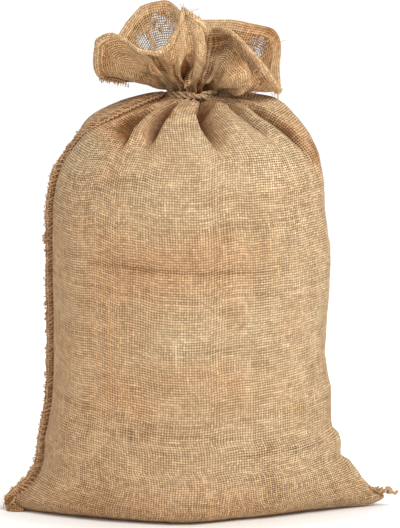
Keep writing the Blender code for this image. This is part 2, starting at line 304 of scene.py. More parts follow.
tail_yarn = yarn_material("tail_yarn", (0.60, 0.40, 0.22), (0.26, 0.14, 0.06))
tail = piece_of_tubes("yarn_tail", tail_shapes, tail_yarn)
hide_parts("seam_tail")
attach(tail, "root")

# ---------------------------------------------------------------------------------------------
# The filled cloth: one width of plain-weave jute folded at the right and closed by the seam on
# the left, 0.355 m wide lying flat. The filling rounds it out, its two bottom corners are drawn
# out into ears, and above the shoulder it is gathered in deep folds under the tie.
CLOTH_ROUND = 0.710
# Each level of the body: its height, how far it reaches to the left, the right and the front,
# how pointed its sides are, how far the cloth rises at them, and the seam's turn in degrees
Level = namedtuple("Level", "height left right depth pinch rise seam_turn", defaults=(1, 0, 0))
LEVELS = [Level(*row) for row in (
    (0, 0.166, 0.172, 0.069, 1.9),
    (0.005, 0.175, 0.1855, 0.08, 1.8),
    (0.0095, 0.1775, 0.191, 0.083, 1.72),
    (0.013, 0.176, 0.19, 0.085, 1.65),
    (0.0175, 0.1705, 0.182, 0.0862, 1.57),
    (0.025, 0.1615, 0.1728, 0.0875, 1.45),
    (0.04, 0.1505, 0.1625, 0.089, 1.28),
    (0.047, 0.148, 0.157, 0.09, 1.21),
    (0.054, 0.146, 0.148, 0.0902, 1.15),
    (0.065, 0.1455, 0.1478, 0.0905, 1.09),
    (0.074, 0.145, 0.146, 0.0908, 1.05),
    (0.083, 0.1435, 0.139, 0.091, 1.02),
    (0.115, 0.1375, 0.1372, 0.091),
    (0.16, 0.136, 0.1315, 0.091),
    (0.21, 0.136, 0.1345, 0.09),
    (0.25, 0.137, 0.136, 0.089),
    (0.3, 0.1355, 0.13, 0.085),
    (0.328, 0.1312, 0.128, 0.08),
    (0.348, 0.121, 0.1238, 0.073, 1, 0.0005, 3),
    (0.362, 0.113, 0.1165, 0.065, 1, 0.001, 12),
    (0.374, 0.108, 0.1065, 0.056, 1, 0.0018, 30),
    (0.385, 0.098, 0.096, 0.046, 1, 0.0026, 42),
    (0.393, 0.082, 0.0855, 0.0375, 1, 0.0036, 46),
    (0.3985, 0.061, 0.0715, 0.03, 1, 0.0055, 44),
    (0.4012, 0.041, 0.046, 0.025, 1, 0.008, 36),
    (0.4022, 0.0279, 0.0275, 0.022, 1, 0.0084, 20),
    (0.4024, 0.0262, 0.0262, 0.0208, 1, 0.0003, 6),
    (0.409, 0.0235, 0.0235, 0.019, 1, 0, 6),
)]
# Folds of the shoulder: creases that run out from the tie. Angles are round the sack in
# degrees, 0 at the right and -90 at the front, at the tie, 20 mm out, 45 mm out and at the
# crease's end. start and end are how far out it runs, depth how deep it sinks, before and
# after how wide its two sides are, and lean how far its bottom is tucked towards the front
# one of its two neighbours.
Crease = namedtuple("Crease", "at_tie near middle far start end depth before after lean")
CREASES = [Crease(*row) for row in (
    (-126, -127, -131, -134, 0, 0.045, 0.017, 0.008, 0.007, 0),
    (-115, -119, -125, -129, 0.018, 0.076, 0.04, 0.019, 0.006, 0.005),
    (-106, -109, -112, -114, 0.006, 0.074, 0.034, 0.008, 0.011, 0.002),
    (-80, -86, -84, -77, 0, 0.08, 0.039, 0.006, 0.024, -0.01),
    (-62, -63, -54, -50, 0.001, 0.062, 0.02, 0.006, 0.01, -0.002),
    (-46, -42, -33, -13, 0.006, 0.11, 0.019, 0.02, 0.009, 0.006),
    (42, 44, 42, 40, 0, 0.085, 0.015, 0.012, 0.018, 0.004),
    (66, 65, 68, 70, 0, 0.1, 0.019, 0.016, 0.01, -0.004),
    (92, 90, 92, 93, 0, 0.09, 0.016, 0.018, 0.012, 0),
    (117, 119, 116, 114, 0, 0.095, 0.018, 0.011, 0.018, 0.004),
    (144, 146, 143, 141, 0, 0.085, 0.013, 0.015, 0.012, 0),
    (168, 171, 169, 166, 0, 0.075, 0.009, 0.012, 0.012, 0),
)]
# Soft dents and swellings of the filled cloth: where each is, how far it reaches round and up,
# how it is tilted in degrees, and how deep it is. A negative depth is a swelling.
Dent = namedtuple("Dent", "angle height round_way up_way tilt depth")
DENTS = [Dent(*row) for row in (
    (-38, 0.262, 0.07, 0.006, 8, 0.0018),
    (-44, 0.246, 0.055, 0.005, 4, 0.0012),
    (-118, 0.24, 0.05, 0.004, 8, 0.0012),
    (-84, 0.238, 0.04, 0.003, 0, 0.0009),
    (-100, 0.275, 0.06, 0.007, 6, 0.001),
    (-95, 0.18, 0.08, 0.03, 0, -0.002),
    (-60, 0.11, 0.06, 0.012, 18, 0.0015),
    (-135, 0.09, 0.05, 0.01, -35, 0.002),
    (-22, 0.082, 0.045, 0.009, 40, 0.002),
    (-75, 0.31, 0.06, 0.02, 12, -0.002),
    (-20, 0.19, 0.03, 0.02, 0, 0.0016),
    (150, 0.25, 0.06, 0.008, 6, 0.0016),
    (60, 0.23, 0.07, 0.008, -8, 0.0016),
    (100, 0.12, 0.07, 0.014, 15, 0.0018),
    (30, 0.08, 0.045, 0.009, -38, 0.002),
    (140, 0.09, 0.05, 0.01, 34, 0.002),
)]
# Patches of the cloth that are redder than the rest, or paler where the amount is negative. The
# redder ones in the shoulder's fold pockets, under the seam's flange, along the right fold and along
# the bottom of the front are painted shade, the paler ones high on the shoulder are painted light,
# and the rest are the cloth's own uneven colour.
Patch = namedtuple("Patch", "angle height round_way up_way amount tilt", defaults=(0,))
PATCHES = [Patch(*row) for row in (
    (-122, 0.302, 0.002, 0.0015, 2.2),
    (-96, 0.252, 0.058, 0.034, 1),
    (-105.5, 0.388, 0.007, 0.006, 2.2),
    (-136, 0.374, 0.026, 0.013, 0.7),
    (-15, 0.352, 0.018, 0.02, 2),
    (-28, 0.372, 0.014, 0.013, 1.4),
    (-157, 0.35, 0.035, 0.022, -1.1),
    (-108, 0.305, 0.05, 0.03, -0.7),
    (-70, 0.25, 0.03, 0.03, 0.3),
    (-125, 0.2, 0.03, 0.3, 0.5),
    (-84, 0.13, 0.08, 0.03, 0.5),
    (-80, 0.01, 0.15, 0.03, 0.9),
    (-50, 0.34, 0.05, 0.04, -0.7),
    (-112, 0.33, 0.03, 0.02, -0.4),
    (-88, 0.17, 0.045, 0.016, -0.5),
    (-40, 0.19, 0.04, 0.03, -0.3),
    (60, 0.3, 0.08, 0.04, -0.5),
    (110, 0.15, 0.08, 0.06, 0.5),
    (20, 0.12, 0.06, 0.05, 0.4),
)]
# Rows where a thread is pulled and the weave stands open
PULLED = [Patch(*row) for row in (
    (-112, 0.244, 0.038, 0.0013, 2.1, 7),
    (-80, 0.2405, 0.036, 0.0012, 2),
    (-62, 0.218, 0.04, 0.0012, 0.8, 3),
    (-116, 0.326, 0.03, 0.0014, 0.9, -4),
    (-70, 0.166, 0.05, 0.0012, 0.7, 2),
    (-100, 0.088, 0.06, 0.0014, 1, 4),
    (-55, 0.07, 0.05, 0.0014, 1, -5),
    (-166, 0.011, 0.01, 0.005, 1.6),
)]
# How much redder the cloth is beside the seam, and how much redder and darker it is painted, as
# painted shade, on the seam under its flange, in the folds and at the neck under the tie, and how
# far each one reaches: from the seam in degrees round the sack, the others in metres
SEAM_RED = 0.7
SEAM_RED_REACH = 110
SEAM_PAINTED_SHADE = 1.5
SEAM_PAINTED_SHADE_REACH = 0.0034
NECK_PAINTED_SHADE = 0.9
NECK_PAINTED_SHADE_REACH = 0.014
FOLD_PAINTED_SHADE = 2.7
FOLD_SPREAD = 0.6
AT_TIE_WIDTH = 0.40
FANNED_OUT = 0.045
FOOT_HEIGHT = 0.060
FOOT_DRAWN = 0.68
FOOT_DRAWN_LEFT = 0.40
SEAM_GAP = 0.0026
BODY_COLUMNS = 320
ROW_STEP = 0.0022
BASE_ROWS = 9
BASE_LIFT = 0.0006
BODY_LOWEST = 0.0005
BASE_TONE = 0.5
OUTLINE_STEPS = 1440
CREASE_PLACES = (0, 0.020, 0.045)
CREASE_SHAPE = 1.7
CREASE_DEEPEST = 0.026
SEAM_CLEAR = 0.016
DEEP_FOLD = 0.040
PUFF = 0.10
PUFF_HIGHEST = 0.0045
PUFF_FROM = 0.012
PUFF_END = 0.090
PUFF_FADE = 0.050
SEAM_DIP = 0.0022
SEAM_DIP_WIDTH = 0.0045
SWELLING = 0.0011
SMALL_SWELLING = 0.0005
NECK_PLEATS = 22
NECK_PLEAT_DEPTH = 0.0012
NECK_PLEAT_REACH = 0.020
# How much cloth a fold may hide, and over how many columns to each side the rows are evened out
LEAST_HIDDEN = 1.10
EVENED_OVER = 6


def outline(level, angle):
    """x and y of points on a level's outline."""
    across = np.cos(np.radians(angle))
    along = np.sin(np.radians(angle))
    x = np.where(across < 0, level.left, level.right) * across
    return x, level.depth * np.sign(along) * np.abs(along) ** level.pinch


def surface_normals(grid):
    """Outward normals of a grid of rows that run round by the front and go up."""
    return unit(np.cross(np.gradient(grid, axis=1), np.gradient(grid, axis=0)))


def bump_at(round_way, up_way, wide, tall):
    """1 in the middle of a soft round spot and falling to nothing beyond its width and height."""
    return np.exp(-((round_way / wide) ** 2) - (up_way / tall) ** 2)


def eased(share):
    return share * share * (3 - 2 * share)


# Rows at an even distance up the cloth, as levels of the table
fine_steps = np.linspace(0, len(LEVELS) - 1, 900)
fine = Level(*smooth_curve(range(len(LEVELS)), LEVELS, fine_steps).T)
side_run = lengths_along(np.stack([(fine.left + fine.right) / 2, fine.height], axis=1))
front_run = lengths_along(np.stack([fine.depth, fine.height], axis=1))
mean_run = (side_run + front_run) / 2
row_count = int(mean_run[-1] / ROW_STEP)
row_steps = np.interp(np.linspace(0, mean_run[-1], row_count), mean_run, fine_steps)
levels = [Level(*row) for row in smooth_curve(range(len(LEVELS)), LEVELS, row_steps)]
tie_row = np.interp(tie_low.z, fine.height, fine_steps)
tie_run, row_run = (np.interp(steps, fine_steps, front_run) for steps in (tie_row, row_steps))
from_tie = np.maximum(tie_run - row_run, 0)

# Where each crease runs, as a share of the way round from the back of the left side
outline_angles = np.linspace(-180, 360, OUTLINE_STEPS + 1)
runs = np.array([lengths_along(np.stack(outline(level, outline_angles), axis=1)) for level in levels])
girths = runs[:, OUTLINE_STEPS * 2 // 3]
shares = runs / girths[:, None]
crease_lines = np.empty((row_count, len(CREASES)))
for number, crease in enumerate(CREASES):
    last = int(np.argmin(np.abs(from_tie - crease.end)))
    angles = np.interp(from_tie, [*CREASE_PLACES, crease.end], crease[:4])
    for row, angle in enumerate(angles):
        crease_lines[row, number] = np.interp(angle, outline_angles, shares[max(row, last)])
seam_line = np.array([
    np.interp(-180 + level.seam_turn, outline_angles, share) for level, share in zip(levels, shares)
])

# The cloth's columns: evenly spaced below the folds, and gathered between the creases above
columns = np.linspace(0, 1, BODY_COLUMNS)
crease_columns = np.round(crease_lines[0] * (BODY_COLUMNS - 1)).astype(int)
knots = np.concatenate([[0], columns[crease_columns], [1]])
half_gap = SEAM_GAP / 2 / girths
lines = np.column_stack([seam_line + half_gap, crease_lines, seam_line + 1 - half_gap])
place = np.array([np.interp(columns, knots, line) for line in lines])
turn = np.array([np.interp(*row, outline_angles) for row in zip(place, shares)])
side = np.cos(np.radians(turn))
body = np.stack([
    np.stack([*outline(level, turned), level.height + level.rise * reach**4], axis=1)
    for level, turned, reach in zip(levels, turn, side)
])

# The foot is drawn back at the right of the front
foot = np.clip(1 - body[:, :, 2] / FOOT_HEIGHT, 0, 1) ** 1.5
drawn_back = (FOOT_DRAWN * np.clip(side + 0.12, 0, 1) + FOOT_DRAWN_LEFT * np.clip(-side, 0, 1)) * foot
body[:, :, 1] *= np.where(body[:, :, 1] < 0, 1 - drawn_back, 1)


def away_from(spot):
    """How far all the cloth lies from a spot, round and up, in metres."""
    round_way = (turn - spot.angle + 180) % 360 - 180
    return round_way / 360 * CLOTH_ROUND, body[:, :, 2] - spot.height


# Creases, dents, and the small uneven swellings of the filling
outward = surface_normals(body)
sideways = unit(np.gradient(body, axis=1))
sink, slide, folded = np.zeros((3, row_count, BODY_COLUMNS))
to_seam = np.minimum(place - place[:, :1], place[:, -1:] - place) * girths[:, None]
fanned = np.clip(AT_TIE_WIDTH + from_tie / FANNED_OUT, 0, 1)
for number, crease in enumerate(CREASES):
    away = (place - crease_lines[:, number, None]) * girths[:, None]
    width = np.where(away < 0, crease.before, crease.after) * fanned[:, None]
    near = np.clip(1 - np.abs(away) / width, 0, 1) ** CREASE_SHAPE
    near *= np.clip(to_seam / SEAM_CLEAR, 0, 1) ** 2
    # A crease from the tie itself is already part open there
    opening = (from_tie - crease.start) / 0.008 if crease.start else 0.45 + from_tie / 0.02
    fading = np.clip((crease.end - from_tie) / (crease.end - CREASE_DEEPEST), 0, 1)
    amount = (np.clip(opening, 0, 1) * eased(fading))[:, None]
    sink += crease.depth * near * amount
    slide += crease.lean * near * amount
    # How deep each fold is here, which paints shade into it further on
    folded += crease.depth / DEEP_FOLD * near**FOLD_SPREAD * amount
gathers = [np.zeros(row_count), *crease_lines.T, np.ones(row_count)]
for left, right in zip(gathers[:-1], gathers[1:]):
    across = np.clip((place - left[:, None]) / (right - left)[:, None], 0, 1)
    high = np.minimum(PUFF * (right - left) * girths, PUFF_HIGHEST)
    high = high * np.clip(from_tie / PUFF_FROM, 0, 1) * np.clip((PUFF_END - from_tie) / PUFF_FADE, 0, 1)
    sink -= high[:, None] * np.sin(across * np.pi) ** 1.5
sink += SEAM_DIP * np.exp(-((to_seam / SEAM_DIP_WIDTH) ** 2)) * np.clip(body[:, :, 2] / 0.03, 0, 1)
for dent in DENTS:
    round_way, up_way = away_from(dent)
    tilt = math.radians(dent.tilt)
    across = round_way * math.cos(tilt) + up_way * math.sin(tilt)
    along = up_way * math.cos(tilt) - round_way * math.sin(tilt)
    sink += dent.depth * bump_at(across, along, dent.round_way, dent.up_way)
neck_pleats = np.clip(1 - from_tie / NECK_PLEAT_REACH, 0, 1)[:, None]
sink += NECK_PLEAT_DEPTH * neck_pleats * np.cos(columns * 2 * np.pi * NECK_PLEATS)
for spot in np.ndindex(sink.shape):
    x, y, z = body[spot]
    sink[spot] += SWELLING * noise.noise((x * 22, y * 22, z * 30))
    sink[spot] += SMALL_SWELLING * noise.noise((x * 70, y * 70, z * 110))
body = body - outward * sink[:, :, None] + sideways * slide[:, :, None]
body[:, :, 2] = np.maximum(body[:, :, 2], BODY_LOWEST)

# The base: the cloth turns under and meets itself along a line from ear to ear
base = [body[0] * (1, step / BASE_ROWS, 0) + (0, 0, BASE_LIFT) for step in range(BASE_ROWS)]
grid = np.concatenate([base, body])

# How red or pale the cloth is from place to place: redder towards the seam, with painted shade in
# the folds, under the seam's flange and under the tie, and the patches
from_seam = np.minimum((turn + 180) % 360, (-180 - turn) % 360)
# Painted shade: redder and darker in the folds, redder under the tie, and darker along the seam under its
# flange
tone = SEAM_RED * np.clip(1 - from_seam / SEAM_RED_REACH, 0, 1) + FOLD_PAINTED_SHADE * folded
tone += NECK_PAINTED_SHADE * np.exp(-((from_tie / NECK_PAINTED_SHADE_REACH) ** 2))[:, None]
tone += SEAM_PAINTED_SHADE * np.exp(-((to_seam / SEAM_PAINTED_SHADE_REACH) ** 2))


def patched(patches):
    """The sum of the patches over the body."""
    total = np.zeros_like(turn)
    for patch in patches:
        round_way, up_way = away_from(patch)
        up_way = up_way + round_way * math.tan(math.radians(patch.tilt))
        total += patch.amount * bump_at(round_way, up_way, patch.round_way, patch.up_way)
    return total


tone = np.concatenate([np.full((BASE_ROWS, BODY_COLUMNS), BASE_TONE), tone + patched(PATCHES)])
pulled = np.concatenate([np.zeros((BASE_ROWS, BODY_COLUMNS)), patched(PULLED)])


def corner_maps(left, right, up):
    """Each face's four corners on the flat cloth, from u at its two sides and v at its rows."""
    return np.stack([
        np.stack(corner, axis=-1)
        for corner in ((left[:-1], up[:-1, :-1]), (right[:-1], up[:-1, 1:]),
                       (right[1:], up[1:, 1:]), (left[1:], up[1:, :-1]))
    ], axis=2)


def cloth_maps(grid, creases, cloth_round):
    """Where each corner of each face of a grid lies on the flat cloth, in metres: u round and
    v up. Between two creases the threads keep their true distance from the middle of the fold,
    so that they run on into the creases and out of sight there."""
    rows, count = grid.shape[:2]
    full = np.linspace(0, cloth_round, count)
    run = lengths_along(grid.transpose(1, 0, 2)).T
    left, right = np.empty((2, rows, count - 1))
    for start, end in zip([0, *creases], [*creases, count - 1]):
        ridge = (start + end) // 2
        u = np.empty((rows, end - start + 1))
        for side, edge in ((slice(start, ridge + 1), start), (slice(ridge, end + 1), end)):
            seen = np.abs(run[:, edge] - run[:, ridge])
            scale = np.clip(abs(full[edge] - full[ridge]) / seen, 1, LEAST_HIDDEN)
            here = slice(side.start - start, side.stop - start)
            u[:, here] = full[ridge] + (run[:, side] - run[:, ridge, None]) * scale[:, None]
        left[:, start:end], right[:, start:end] = u[:, :-1], u[:, 1:]
    up = lengths_along(grid)
    up = up / up[-1:] * up[-1].mean()
    up = (up + up.mean(axis=1, keepdims=True)) / 2
    wide = np.pad(up, ((0, 0), (EVENED_OVER, EVENED_OVER)), mode="reflect")
    up = np.mean([wide[:, step:step + count] for step in range(2 * EVENED_OVER + 1)], axis=0)
    return corner_maps(left, right, up)


def sheet_piece(name, grid, corners, material, **values):
    """An object of a grid of rows, which carries its place on the flat cloth as the map "cloth",
    and one value a point under each of the names."""
    rows, count = grid.shape[:2]
    low = (np.arange(rows - 1)[:, None] * count + np.arange(count - 1)).ravel()
    faces = np.stack([low, low + 1, low + count + 1, low + count], axis=1)
    piece = new_piece(name, grid.reshape(-1, 3), faces.tolist(), material)
    flat = piece.data.uv_layers.new(name="cloth")
    flat.data.foreach_set("uv", corners.reshape(-1).astype(np.float32))
    for value_name, value in values.items():
        held = piece.data.attributes.new(value_name, "FLOAT", "POINT")
        held.data.foreach_set("value", np.broadcast_to(value, grid.shape[:2]).ravel())
    return piece


def strip_maps(grid):
    """The same for a narrow strip: u along each row and v from row to row."""
    across = lengths_along(grid.transpose(1, 0, 2)).T
    along = lengths_along(grid).mean(axis=1, keepdims=True)
    return corner_maps(across[:, :-1], across[:, 1:], np.broadcast_to(along, across.shape))


WARP_PITCH = 0.00254
WEFT_PITCH = 0.00239
ROW_DARK = 0.14
# Colours of the threads, the painted shade of the dark space seen between them, and what is
# multiplied into them
WARP_COLOUR = (0.612, 0.462, 0.290)
WEFT_COLOUR = (0.612, 0.457, 0.285)
GAP_SHADE = (0.090, 0.040, 0.008)
# Painted shade that darkens the threads where the cloth is seen through
SHEER_SHADE_COLOUR = (0.16, 0.15, 0.115)
RICH_THREAD = (0.98, 0.80, 0.70)
LIGHT_THREAD = (1.28, 1.38, 1.46)
DARK_THREAD = (0.45, 0.38, 0.30)
# Multiplied in by the mesh's "tone": redder, deeper, paler; the deeper one is mostly painted shade
RED_TONE = (1.00, 0.88, 0.81)
DEEP_TONE = (0.52, 0.37, 0.26)
PALE_TONE = (1.10, 1.13, 1.17)
EDGE_SHADE = (0.58, 0.42, 0.24)
ROW_SHADE = (0.52, 0.38, 0.20)
# In shares of the threads' spacing: how far they wander from straight, their least and most half
# widths, how far they bow over each other, and how much they draw apart, at random and where sheer
WARP_WANDER = 0.9
WEFT_WANDER = 1.0
THINNEST = 0.18
THICKEST = 0.47
THREAD_BOW = 0.55
LOOSE_AT_RANDOM = 0.15
LOOSE_WHERE_SHEER = 0.13
# How uneven the crossings and the streaks of the cloth are
CROSSING_SHADE = 0.38
STREAK_SHADE = 0.42
# Values of the mesh's "sheer" above this one are seen through, with ragged edges
SHEER_FROM = 0.24
SHEER_RAGGED = 1.6
SHEER_CROSSINGS = 1.3
SHEER_SHADE = 0.6


class Wire:
    """A number out of a shader node. Arithmetic with it adds the nodes that work it out."""

    def __init__(self, tree, socket):
        self.tree = tree
        self.socket = socket

    def math(self, operation, *values):
        return Wire(self.tree, add_node(self.tree, "Math", (self, *values), operation=operation).outputs[0])

    def clamped(self):
        self.socket.node.use_clamp = True
        return self

    def __rsub__(self, other):
        return Wire(self.tree, add_node(self.tree, "Math", (other, self), operation="SUBTRACT").outputs[0])

    __add__ = partialmethod(math, "ADD")
    __sub__ = partialmethod(math, "SUBTRACT")
    __mul__ = partialmethod(math, "MULTIPLY")
    __truediv__ = partialmethod(math, "DIVIDE")
    __gt__ = partialmethod(math, "GREATER_THAN")


def tinted(colour, tint):
    return tuple(part * share for part, share in zip(colour, tint))


def cloth_material(name, warp_half, weft_half, row_dark, tint=(1, 1, 1), sheer=False):
    """Plain-weave jute: uneven threads passing over and under each other, with gaps between
    them. The halves are the least half widths of the threads, as shares of their spacing. With
    sheer, one sees through the gaps where the mesh's value "sheer" is high."""
    material, tree, shader = new_material(name)

    def wire(kind, sockets=(), output=0, **settings):
        return Wire(tree, add_node(tree, kind, sockets, **settings).outputs[output])

    def point(x, y, z=0.0):
        return wire("CombineXYZ", (x, y, z))

    def noisy(where, scale=1.0, detail=2.0):
        return wire("TexNoise", {"Vector": where, "Scale": scale, "Detail": detail}, "Fac")

    def chance(where):
        return wire("TexWhiteNoise", {"Vector": where}, "Value", noise_dimensions="3D")

    def blend(share, first, second, kind="MIX"):
        first, second = ((*side, 1) if isinstance(side, tuple) else side for side in (first, second))
        sockets = {"Factor": share, "A": first, "B": second}
        return wire("Mix", sockets, "Result", data_type="RGBA", blend_type=kind)

    def times(colour, tone):
        return blend(1.0, colour, tone, "MULTIPLY")

    flat = wire("UVMap", (), "UV", uv_map="cloth")
    toned = wire("Attribute", (), "Fac", attribute_name="tone")
    held = wire("Attribute", (), "Fac", attribute_name="sheer")
    round_way, up_way = (wire("SeparateXYZ", (flat,), axis) for axis in "XY")

    # Threads wander a little from straight
    warps = round_way / WARP_PITCH + (noisy(flat, 60) - 0.5) * WARP_WANDER
    wefts = up_way / WEFT_PITCH + (noisy(point(up_way, round_way), 55) - 0.5) * WEFT_WANDER
    warp_number, weft_number = warps.math("FLOOR"), wefts.math("FLOOR")
    warp_off, weft_off = warps - warp_number - 0.5, wefts - weft_number - 0.5
    sign = (warp_number + weft_number).math("PINGPONG", 1.0) * 2.0 - 1.0

    # How open the cloth is from place to place, and how thick each thread is along itself
    loose = (noisy(flat, 48, 4) - 0.5) * LOOSE_AT_RANDOM + held * LOOSE_WHERE_SHEER
    crossing = chance(point(warp_number, weft_number, 9.0)) - 0.5

    def thread(number, along, off, thickness, seed):
        own = chance(point(number, seed))
        varying = noisy(point(number * 3.7, along * 55.0, seed), detail=1.0)
        half = own * 0.10 + varying * 0.22 + thickness - (own > 0.94) * 0.10 - loose + crossing * 0.05
        share = off.math("ABSOLUTE") / half.math("MAXIMUM", THINNEST).math("MINIMUM", THICKEST)
        rounded = 1.0 - share * share
        return own, varying, rounded.math("MAXIMUM", 0.0).math("SQRT"), rounded > 0.0

    warp_own, warp_thick, warp_round, warp_there = thread(warp_number, up_way, warp_off, warp_half, 1.0)
    weft_own, weft_thick, weft_round, weft_there = thread(weft_number, round_way, weft_off, weft_half, 5.0)
    warp_wave = sign * (weft_off * math.pi).math("COSINE")
    weft_wave = sign * (warp_off * math.pi).math("COSINE")
    warp_height = (warp_round + warp_wave * THREAD_BOW + 1.0) * warp_there
    weft_height = (weft_round - weft_wave * THREAD_BOW + 1.0) * weft_there
    height = warp_height.math("MAXIMUM", weft_height)
    there = warp_there.math("MAXIMUM", weft_there)

    # Colours: warm and pale patches over the cloth, uneven threads, fibres along each thread
    mottle = noisy(flat, 26, 4)
    pale = noisy(point(up_way, round_way, 3.0), 19, 3)
    fibre = noisy(point(round_way * 2600.0, up_way * 500.0))
    streak = noisy(point(round_way * 42.0, up_way * 400.0, 7.0))
    fibre_across = noisy(point(round_way * 500.0, up_way * 2600.0))

    def shaded(colour, own, thick, fibres):
        colour = tinted(colour, tint)
        light, dark = tinted(colour, LIGHT_THREAD), tinted(colour, DARK_THREAD)
        out = blend(((mottle - 0.42) * 1.7).clamped(), colour, tinted(colour, RICH_THREAD))
        out = blend(((pale - 0.50) * 1.7).clamped(), out, light)
        out = blend(((thick - 0.50) * 2.0).clamped(), out, light)
        out = blend(((own - 0.92) * 6.0).clamped(), out, dark)
        return blend(((0.60 - fibres) * 2.2).clamped(), out, dark)

    warp_colour = shaded(WARP_COLOUR, warp_own, warp_thick, fibre)
    weft_colour = shaded(WEFT_COLOUR, weft_own, weft_thick, fibre_across)
    colour = blend(warp_height > weft_height, weft_colour, warp_colour)
    # By the mesh's "tone" the cloth is redder, deeper or paler: redder and deeper are partly its own colour
    # and mostly painted shade, paler is partly painted light
    colour = blend((toned * 1.0).clamped(), colour, times(colour, RED_TONE))
    colour = blend((toned - 1.0).clamped(), colour, times(colour, DEEP_TONE))
    colour = blend((toned * -1.0).clamped(), colour, times(colour, PALE_TONE))
    shade = crossing * CROSSING_SHADE + 1.0 + (streak - 0.5) * STREAK_SHADE
    colour = times(colour, point(shade, shade, shade))
    colour = blend(((height - 0.9) * 0.9).clamped(), times(colour, EDGE_SHADE), colour)
    # The threads lie in each other's shadow between two rows
    row_edge = (weft_off.math("ABSOLUTE") * 2.0).math("POWER", 2.0)
    colour = blend(row_edge * row_dark, colour, times(colour, ROW_SHADE))
    # Painted shade: the dark space behind the cloth, seen between the threads
    colour = blend(there, GAP_SHADE, colour)
    if sheer:
        ragged = (noisy(flat, 140) - 0.5) * SHEER_RAGGED + crossing * SHEER_CROSSINGS
        seen_through = held * (ragged + 1.0) > SHEER_FROM
        # Painted shade darkens the threads where one sees through the cloth, on the inner side of the mouth
        colour = blend(seen_through * SHEER_SHADE, colour, SHEER_SHADE_COLOUR)
        fill(tree, shader, {"Alpha": 1.0 - seen_through * (1.0 - there)})
    bump = wire("Bump", {"Strength": 0.8, "Distance": 0.0005, "Height": height + fibre * 0.35})
    fill(tree, shader, {
        "Base Color": colour, "Roughness": 0.92, "Specular IOR Level": 0.10, "Normal": bump,
        "Sheen Weight": 0.08, "Sheen Roughness": 0.6, "Sheen Tint": (1.0, 0.80, 0.55, 1),
    })
    return material


body_cloth = cloth_material("burlap", 0.138, 0.128, ROW_DARK)
body_maps = cloth_maps(grid, crease_columns, CLOTH_ROUND)
sack_body = sheet_piece("sack_body", grid, body_maps, body_cloth, tone=tone, sheer=pulled)
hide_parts("sack")
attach(sack_body, "root")

# ---------------------------------------------------------------------------------------------
# The side seam: the raw edges of front and back stand out together in a narrow flange, bound by
# a row of slanting overcast stitches in soft jute yarn. Over the shoulder the flange lies back
# on the cloth. Cut threads and small loops of yarn stick out along its edge.
FLANGE_WIDTH = 0.0086
FLANGE_THICK = 0.0026
FLANGE_ROOT = 0.0020
FLANGE_AT_EAR = 0.10
FLANGE_TAPER = 0.045
FLANGE_STEP = 0.0018
EDGE_UNEVEN = 0.0016
EDGE_SCALLOP = 0.0008
# The flange's section from one side to the other: how far out and over, as shares
FLANGE_SECTION = ((0, -0.9), (0.25, -1.0), (0.6, -0.9), (0.88, -0.8), (1.0, 0),
                  (0.88, 0.8), (0.6, 0.9), (0.25, 1.0), (0, 0.9))
STITCH_PITCH = 0.0046
STITCH_SLANT = 0.0056
STITCH_RADIUS = 0.00064
# How far a stitch may be off its place or bent, and the shares by which its width, its slant, its
# stand off the cloth and its girth differ
STITCH_OFF = 0.0012
STITCH_WIDTHS = (0.86, 1.14)
STITCH_SLANTS = (0.5, 1.4)
STITCH_STANDS = (0.1, 0.7)
STITCH_GIRTHS = (0.6, 1.3)
STITCH_STEPS = 15
# A stitch's nine points, from the front of the seam's base over the edge to the back
STITCH_ALONG = np.array((-0.1, 0, 0.4, 0.8, 1, 1.1, 0.9, 0.5, 0.3))
STITCH_BULGE = np.array((0, 0.3, 1, 0.7, 0, 0.7, 1, 0.3, 0))
STITCH_OUT = np.array((-0.05, 0.1, 0.45, 0.85, 1.03, 0.85, 0.45, 0.1, -0.05))
STITCH_OVER = np.array((-0.3, -1, -1.1, -0.9, 0, 0.9, 1.1, 1, 0.3))
SEAM_ENDS = 0.020
# The lock yarn: its radius, its steps, how far out it lies and how far its scallops swing back,
# and how far it stands off the flange
LOCK_YARN = 0.00082
LOCK_STEP = 0.0009
LOCK_OUT = 0.0012
LOCK_SCALLOP = 0.0022
LOCK_STAND = 0.0010
# Cut threads along the edge and, one in four, loops: how long they are, how far they lean along
# the seam and aside, and how thick they are
TUFTS = 150
TUFT_LENGTHS = (0.0015, 0.0042)
TUFT_DRIFT = 0.0028
TUFT_ASIDE = 0.0012
TUFT_RADII = (0.00035, 0.0008)
LOOP_RADII = (0.00035, 0.0006)
LOOP_HALF = 0.0016
# Painted shade darkens the flange along its base, where it meets the cloth, and most in the hollow
# over the left ear
FLANGE_TONES_AND_SHADE = (2.0, 1.9, 1.3, 0.8, 0.5, 0.8, 1.3, 1.9, 2.0)
HOLLOW_PAINTED_SHADE = 2.0
HOLLOW_HEIGHT = 0.0088
HOLLOW_REACH = 0.0028
FLANGE_LOWEST = 0.0004
# Where along its height the flange begins to lie back on the cloth, and where it lies flat
LIES_FROM = 0.325
LIES_AT = 0.372
LAY_STEP = 0.001
LAY_REACH = 0.020
SEED = 7

random = np.random.default_rng(SEED)
# The seam's own line up the sack, and the way the flange stands out from it
seam_base = (body[:, 0] + body[:, -1]) / 2
seam_up = unit(np.gradient(seam_base, axis=0))
seam_back = unit(body[:, -1] - body[:, 0])
seam_back = unit(seam_back - seam_up * (seam_back * seam_up).sum(axis=1, keepdims=True))
seam_out = np.cross(seam_back, seam_up)
seam_out *= np.sign((seam_out * (outward[:, 0] + outward[:, -1])).sum(axis=1, keepdims=True))
seam_length = lengths_along(seam_base)
lying = eased(np.clip((seam_base[:, 2] - LIES_FROM) / (LIES_AT - LIES_FROM), 0, 1))
lay_steps = np.arange(0, LAY_REACH, LAY_STEP)


def read_lines(lines, runs, at):
    """Each line of points or directions, read at the same distances along it."""
    return np.array([
        np.stack([np.interp(at, run, line[:, axis]) for axis in range(3)], axis=-1)
        for run, line in zip(runs, lines)
    ])


back_run = lengths_along(body[:, ::-1].transpose(1, 0, 2)).T
laid, laid_up = (read_lines(lines[:, ::-1], back_run, lay_steps) for lines in (body, outward))


